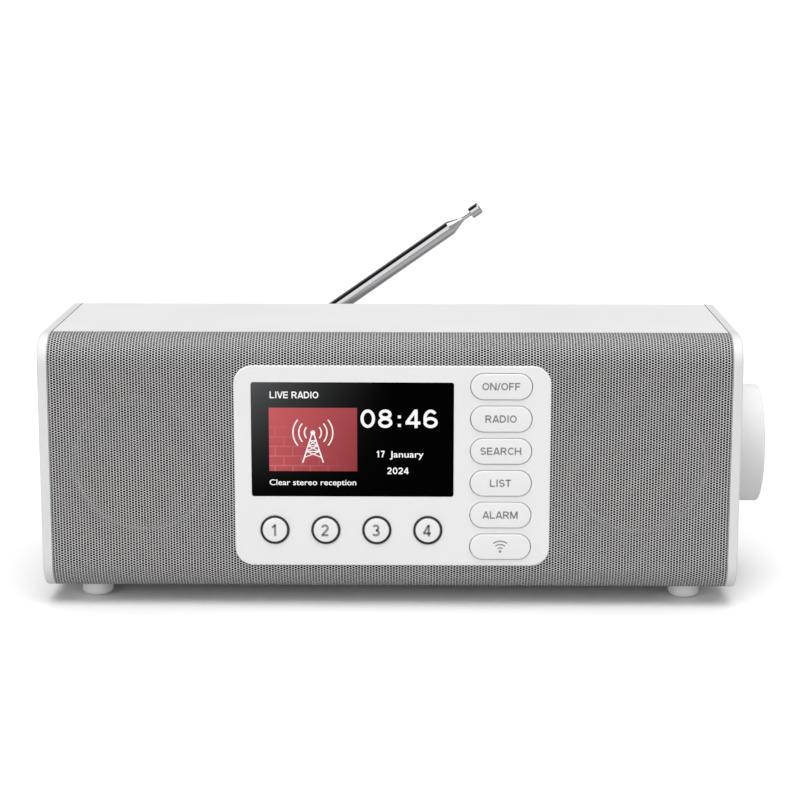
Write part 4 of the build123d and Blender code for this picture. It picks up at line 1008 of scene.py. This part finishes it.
# name, text, x from the cabinet's centre, z from its top, height, stretch, weight
bold = [
    ("display_title", "LIVE RADIO", -40.4, -24.4, 2.9, 1.14, 0.17),
    ("display_clock", "08:46", 4.6, -34.6, 8.0, 1.36, 0.165),
    ("display_day", "17", -3.7, -50.0, 2.9, 1.0, 0.17),
    ("display_year", "2024", 3.8, -57.3, 2.9, 1.2, 0.165),
]
for name, text, x, z, height, stretch, weight in bold:
    bold_marks(name, text, cabinet_x + x * MM, top_z + z * MM, window_face, height * MM, stretch, weight,
               lit_white, "cabinet", "window_black")

# %% Words beside the sockets at the back
cover_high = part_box("rear_cover")[1]
socket_drop = 2.2 * MM
sockets = {"headphone_socket": "PHONES", "aux_socket": "AUX IN", "dc_socket": "DC IN"}
for node, word in sockets.items():
    low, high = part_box(node)
    middle_x = (low.x + high.x) / 2
    lettering(node + "_label", word, middle_x, low.z - socket_drop, cover_high.y, 2.3 * MM, print_grey,
              "cabinet", 0.006, 0.5, 1.1, facing=-1)

# %% [markdown]
# ## Floor, world and light
# A pale floor and a white surround give the soft light of a product table. The surround is
# brightest in front on the left, and has a dark flag higher up on that side, so the polished mast
# shows bands as chrome does. The camera itself sees plain white. One broad light from overhead and
# a little in front makes the top lighter than the front.

# %% Floor
floor_mesh = bpy.data.meshes.new("floor")
reach = 30.0
floor_corners = [(-reach, -reach, 0), (reach, -reach, 0), (reach, reach, 0), (-reach, reach, 0)]
floor_mesh.from_pydata(floor_corners, [], [(0, 1, 2, 3)])
floor = bpy.data.objects.new("floor", floor_mesh)
bpy.context.scene.collection.objects.link(floor)
floor_material, shader = new_material("pale_floor")
tree = floor_material.node_tree
path = add_node(tree, "ShaderNodeLightPath")
seen = mixed(tree, path.outputs["Is Camera Ray"], (0.6, 0.6, 0.6, 1), (0.98, 0.98, 0.98, 1))
fill(shader, Base_Color=seen, Roughness=0.9, Specular_IOR_Level=0.0)
floor_mesh.materials.append(floor_material)
floor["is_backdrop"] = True

# %% World


def ramp(tree, value, stops):
    """The colour output of a smooth ramp through (position, grey) stops."""
    node = add_node(tree, "ShaderNodeValToRGB", None, Fac=value)
    node.color_ramp.interpolation = "EASE"
    while len(node.color_ramp.elements) < len(stops):
        node.color_ramp.elements.new(0.5)
    for element, (position, grey) in zip(node.color_ramp.elements, stops):
        element.position = position
        element.color = (grey, grey, grey, 1)
    return node.outputs["Color"]


world = bpy.data.worlds.new("studio")
bpy.context.scene.world = world
world.use_nodes = True
tree = world.node_tree
background = tree.nodes["Background"]
place = add_node(tree, "ShaderNodeTexCoord")
apart = add_node(tree, "ShaderNodeSeparateXYZ", None, Vector=place.outputs["Generated"])
depthward = remap(tree, apart.outputs["Y"], -1.0, 1.0, 0.0, 1.0)
plain_side = ramp(tree, depthward, [(0.0, 0.42), (0.35, 0.36), (0.6, 0.22), (1.0, 0.20)])
bright_side = ramp(tree, depthward, [(0.0, 1.0), (0.2, 1.0), (0.25, 0.26), (0.6, 0.22), (1.0, 0.20)])
flag = ramp(tree, depthward, [(0.235, 0.0), (0.275, 1.0), (0.67, 1.0), (0.72, 0.0)])
leftness = remap(tree, apart.outputs["X"], 0.0, -0.16, 0.0, 1.0)
far_left = remap(tree, apart.outputs["X"], -0.30, -0.42, 0.0, 1.0)
raised = remap(tree, apart.outputs["Z"], 0.44, 0.52, 0.0, 1.0)
flagged = calculate(tree, "MULTIPLY", calculate(tree, "MULTIPLY", far_left, raised), flag)
lit_room = mixed(tree, leftness, plain_side, bright_side)
room = mixed(tree, flagged, lit_room, (0.01, 0.01, 0.01, 1))
path = add_node(tree, "ShaderNodeLightPath")
seen = mixed(tree, path.outputs["Is Camera Ray"], room, (1, 1, 1, 1))
fill(background, Color=seen, Strength=1.72)

sun_data = bpy.data.lights.new("overhead", "SUN")
sun_data.energy = 2.15
sun_data.angle = math.radians(60)
sun = bpy.data.objects.new("overhead", sun_data)
sun.rotation_euler = (math.radians(10), 0, 0)
bpy.context.scene.collection.objects.link(sun)

# %% Measure and finish
low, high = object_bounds()
